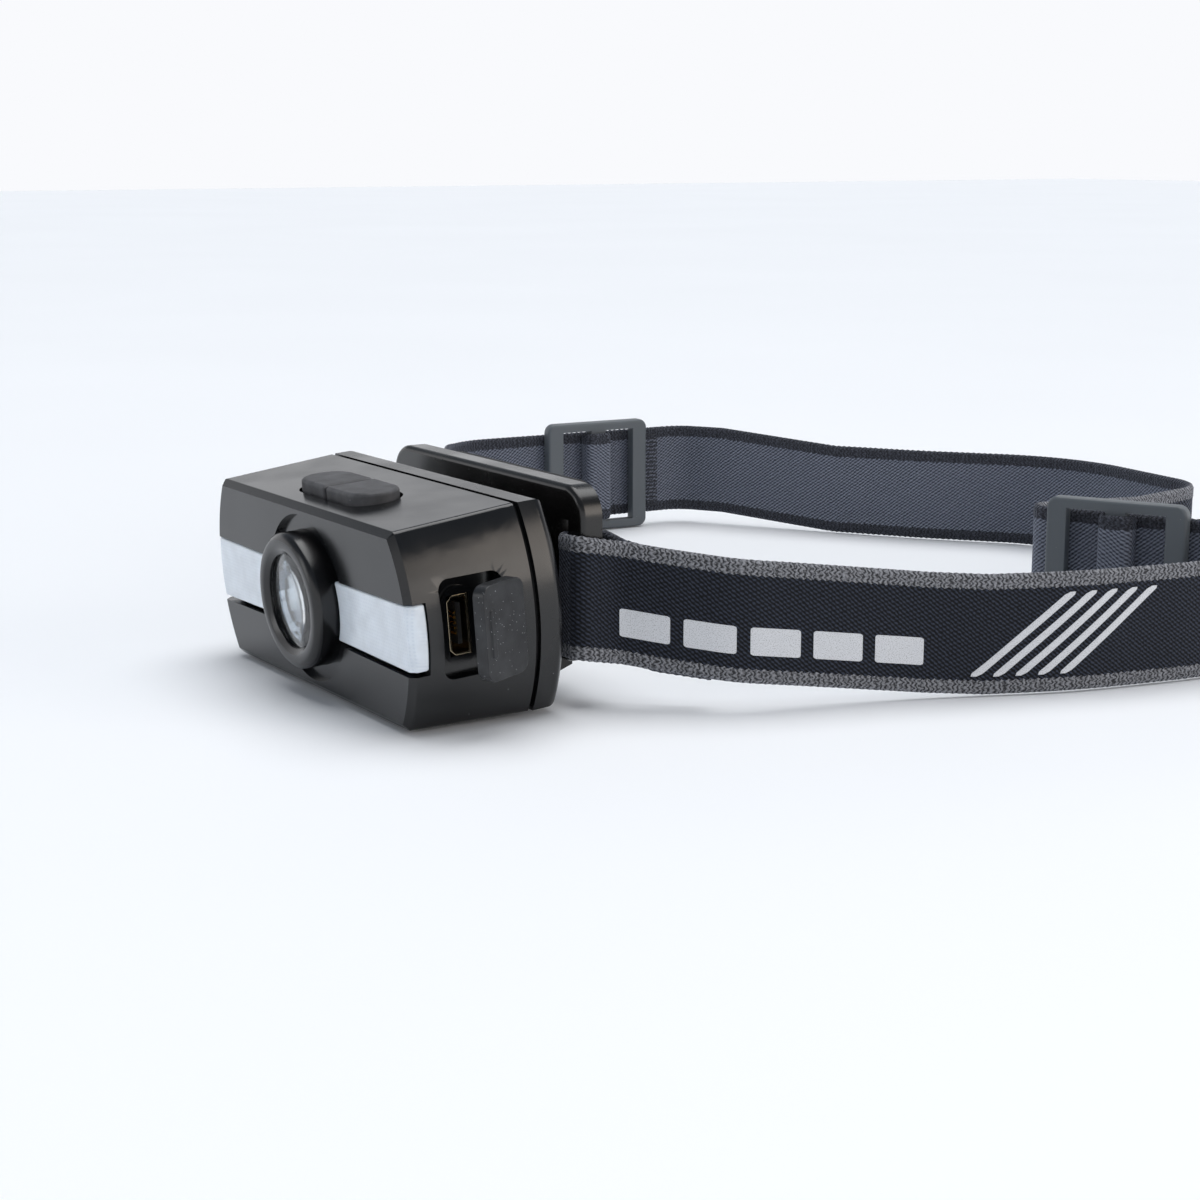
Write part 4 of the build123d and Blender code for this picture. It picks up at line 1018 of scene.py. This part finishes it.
class HEADLAMP_OT_bracket(bpy.types.Operator):
    """Bracket with its hinge pin and brow pad"""
    bl_idname = "headlamp.bracket"
    bl_label = "Bracket and brow pad"

    def execute(self, context):
        plate = copied_from("bracket", "bracket_moulding", 0.4, 30, 4)
        stand_in(clothe(plate, finish("Acetal glossy bracket")), "headband", "bracket_plastic", "bracket")
        pin = copied_from("hinge_pin", "hinge_pin_turned", 0.25)
        stand_in(clothe(pin, finish("Zinc plated steel")), "lamp", "screw_steel", "hinge_pin")
        self.brow_pad()
        return {"FINISHED"}

    def brow_pad(self):
        low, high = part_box("brow_pad")
        size, centre = high - low, (low + high) / 2
        deselect()
        bpy.ops.mesh.primitive_cube_add(size=1, location=centre, scale=size)
        pad = settle(bpy.context.object, "brow_cushion")
        activate(pad)
        bpy.ops.object.mode_set(mode="EDIT")
        bpy.ops.mesh.select_all(action="DESELECT")
        bpy.ops.object.mode_set(mode="OBJECT")
        for edge in pad.data.edges:
            a, b = (pad.data.vertices[i].co for i in edge.vertices)
            edge.select = abs(a.y - b.y) > size.y / 2
        bpy.ops.object.mode_set(mode="EDIT")
        bpy.ops.mesh.select_mode(type="EDGE")
        bpy.ops.mesh.bevel(offset=3.0 * MM, segments=8, affect="EDGES")
        bpy.ops.mesh.select_all(action="DESELECT")
        bpy.ops.object.mode_set(mode="OBJECT")
        rear = max(pad.data.polygons, key=lambda face: face.normal.y)
        rear.select = True
        bpy.ops.object.mode_set(mode="EDIT")
        bpy.ops.mesh.select_mode(type="FACE")
        for inset, rise in ((0.3, -0.25), (0.5, 0.12), (0.8, 0.1), (1.2, 0.06), (2.0, 0.03)):
            bpy.ops.mesh.inset(thickness=inset * MM, depth=rise * MM)
        bpy.ops.object.mode_set(mode="OBJECT")
        finish_with(pad, "BEVEL", width=0.2 * MM, segments=2, limit_method="ANGLE",
                    angle_limit=math.radians(50))
        smooth(pad, 60)
        stand_in(clothe(pad, finish("EVA brow foam")), "headband", "brow_foam", "brow_pad")


class HEADLAMP_OT_band(bpy.types.Operator):
    """Knitted elastic headband in three runs"""
    bl_idname = "headlamp.band"
    bl_label = "Headband"

    def execute(self, context):
        for run in RUNS:
            band = knitted_run(f"knitted_band_{run}", track_of(run))
            clothe(band, finish("Knitted elastic face"), finish("Knitted elastic back"))
            stand_in(band, "headband", "band_fabric", f"band_{run}")
        return {"FINISHED"}


class HEADLAMP_OT_sliders(bpy.types.Operator):
    """Two sliders with their sewn loops"""
    bl_idname = "headlamp.sliders"
    bl_label = "Sliders"

    def execute(self, context):
        for tag, line in (("a", LINE_A), ("b", LINE_B)):
            slider = copied_from(f"slider_{tag}", f"slider_frame_{tag}", 0.35, 30, 4)
            clothe(slider, finish("Nylon slider"))
            stand_in(slider, f"slider_{tag}", "slider_plastic", f"slider_{tag}")
            centre, along = line
            inward = Vector((along.y, -along.x))
            thick, reach, depth = 0.9, 1.6, 2.1
            base = centre + inward * 1.0
            spots = [(-reach - thick / 2, 0.0), (-reach - thick / 2, depth + thick / 2),
                     (reach + thick / 2, depth + thick / 2), (reach + thick / 2, 0.0)]
            corners = [tuple(base + along * x + inward * y) for x, y in spots]
            loop = bent_strip(f"sewn_loop_{tag}", corners, [0.9, 0.9], 2.0, BAND_WIDTH, thick)
            clothe(loop, finish("Knitted elastic back"))
            stand_in(loop, f"slider_{tag}", "band_fabric", f"band_loop_{tag}")
        return {"FINISHED"}


class HEADLAMP_OT_print(bpy.types.Operator):
    """Silver reflective dashes and slanted stripes pressed on the band"""
    bl_idname = "headlamp.reflective_print"
    bl_label = "Reflective print"

    def execute(self, context):
        s = sizes()
        tall, wide, pitch = s.print_height / MM, s.stripe_width / MM, s.stripe_pitch / MM
        for i in range(5):
            start = 30.6 + i * 8.3
            self.film(f"print_dash_{i + 1}", 5.6 - tall / 2, 5.6 + tall / 2, start + 3.3, 6.6, 0.0)
        for i in range(5):
            self.film(f"print_stripe_{i + 1}", 2.5, 13.3, 77.2 + i * pitch, wide, 1.22)
        return {"FINISHED"}

    def film(self, name, low, high, foot, wide, lean, rows=28, columns=8):
        """A film patch with rounded corners; its middle line leans along the band as it rises."""
        track = track_of("right")
        points, uv, faces = [], [], []
        corner = min(0.35, wide / 3)
        for i in range(rows + 1):
            across = low + (high - low) * i / rows
            to_end = min(across - low, high - across)
            pull = corner - math.sqrt(max(0, corner ** 2 - (corner - min(corner, to_end)) ** 2))
            for j in range(columns + 1):
                length = foot + lean * (across - low) + (wide / 2 - pull) * (2 * j / columns - 1)
                points.append(track.surface(length, across, FILM_OUT))
                uv.append((length * MM, across * MM))
        for i in range(rows):
            for j in range(columns):
                a = i * (columns + 1) + j
                faces.append((a, a + 1, a + columns + 2, a + columns + 1))
        patch = mesh_piece(name, points, faces, uv)
        finish_with(patch, "SOLIDIFY", thickness=FILM_THICK * MM, offset=0.0)
        smooth(outward(patch), 50)
        stand_in(clothe(patch, finish("Reflective heat transfer")), "headband", "band_fabric")


class HEADLAMP_OT_stitching(bpy.types.Operator):
    """Zigzag bar tacks where the band is sewn"""
    bl_idname = "headlamp.stitching"
    bl_label = "Stitching"

    def execute(self, context):
        right, rear, left = track_of("right"), track_of("rear"), track_of("left")
        for name, track, start, end in (
                ("tack_bracket_right", right, 1.4, 3.6),
                ("tack_join_b", right, right.length - 1.2, right.length + 1.2),
                ("tack_join_a", rear, rear.length - 1.2, rear.length + 1.2),
                ("tack_bracket_left", left, left.length - 3.6, left.length - 1.4)):
            for face, out in (("outer", 0.5), ("inner", -0.5)):
                tack = bar_tack(f"{name}_{face}", track, start, end, out)
                stand_in(clothe(tack, finish("Polyester thread")), "headband", "band_fabric")
        return {"FINISHED"}


PIECES = (
    HEADLAMP_OT_stage, HEADLAMP_OT_shell, HEADLAMP_OT_windows, HEADLAMP_OT_optics, HEADLAMP_OT_port,
    HEADLAMP_OT_keys, HEADLAMP_OT_inner_parts, HEADLAMP_OT_bracket, HEADLAMP_OT_band,
    HEADLAMP_OT_sliders, HEADLAMP_OT_print, HEADLAMP_OT_stitching,
)


class HEADLAMP_PT_pieces(bpy.types.Panel):
    """Lists the steps that build the headlamp"""
    bl_idname = "HEADLAMP_PT_pieces"
    bl_label = "Headlamp"
    bl_space_type = "VIEW_3D"
    bl_region_type = "UI"
    bl_category = "Headlamp"

    def draw(self, context):
        for step in PIECES:
            self.layout.operator(step.bl_idname)


CLASSES = (HeadlampSizes, HeadlampColours, *PIECES, HEADLAMP_PT_pieces)


def register():
    for item in CLASSES:
        bpy.utils.register_class(item)
    bpy.types.Scene.headlamp_sizes = bpy.props.PointerProperty(type=HeadlampSizes)
    bpy.types.Scene.headlamp_colours = bpy.props.PointerProperty(type=HeadlampColours)


def unregister():
    del bpy.types.Scene.headlamp_colours
    del bpy.types.Scene.headlamp_sizes
    for item in reversed(CLASSES):
        bpy.utils.unregister_class(item)


def main():
    register()
    for step in PIECES:
        group, action = step.bl_idname.split(".")
        result = getattr(getattr(bpy.ops, group), action)()
        if result != {"FINISHED"}:
            raise RuntimeError(f"{step.bl_idname} did not finish")


if __name__ == "__main__":
    main()
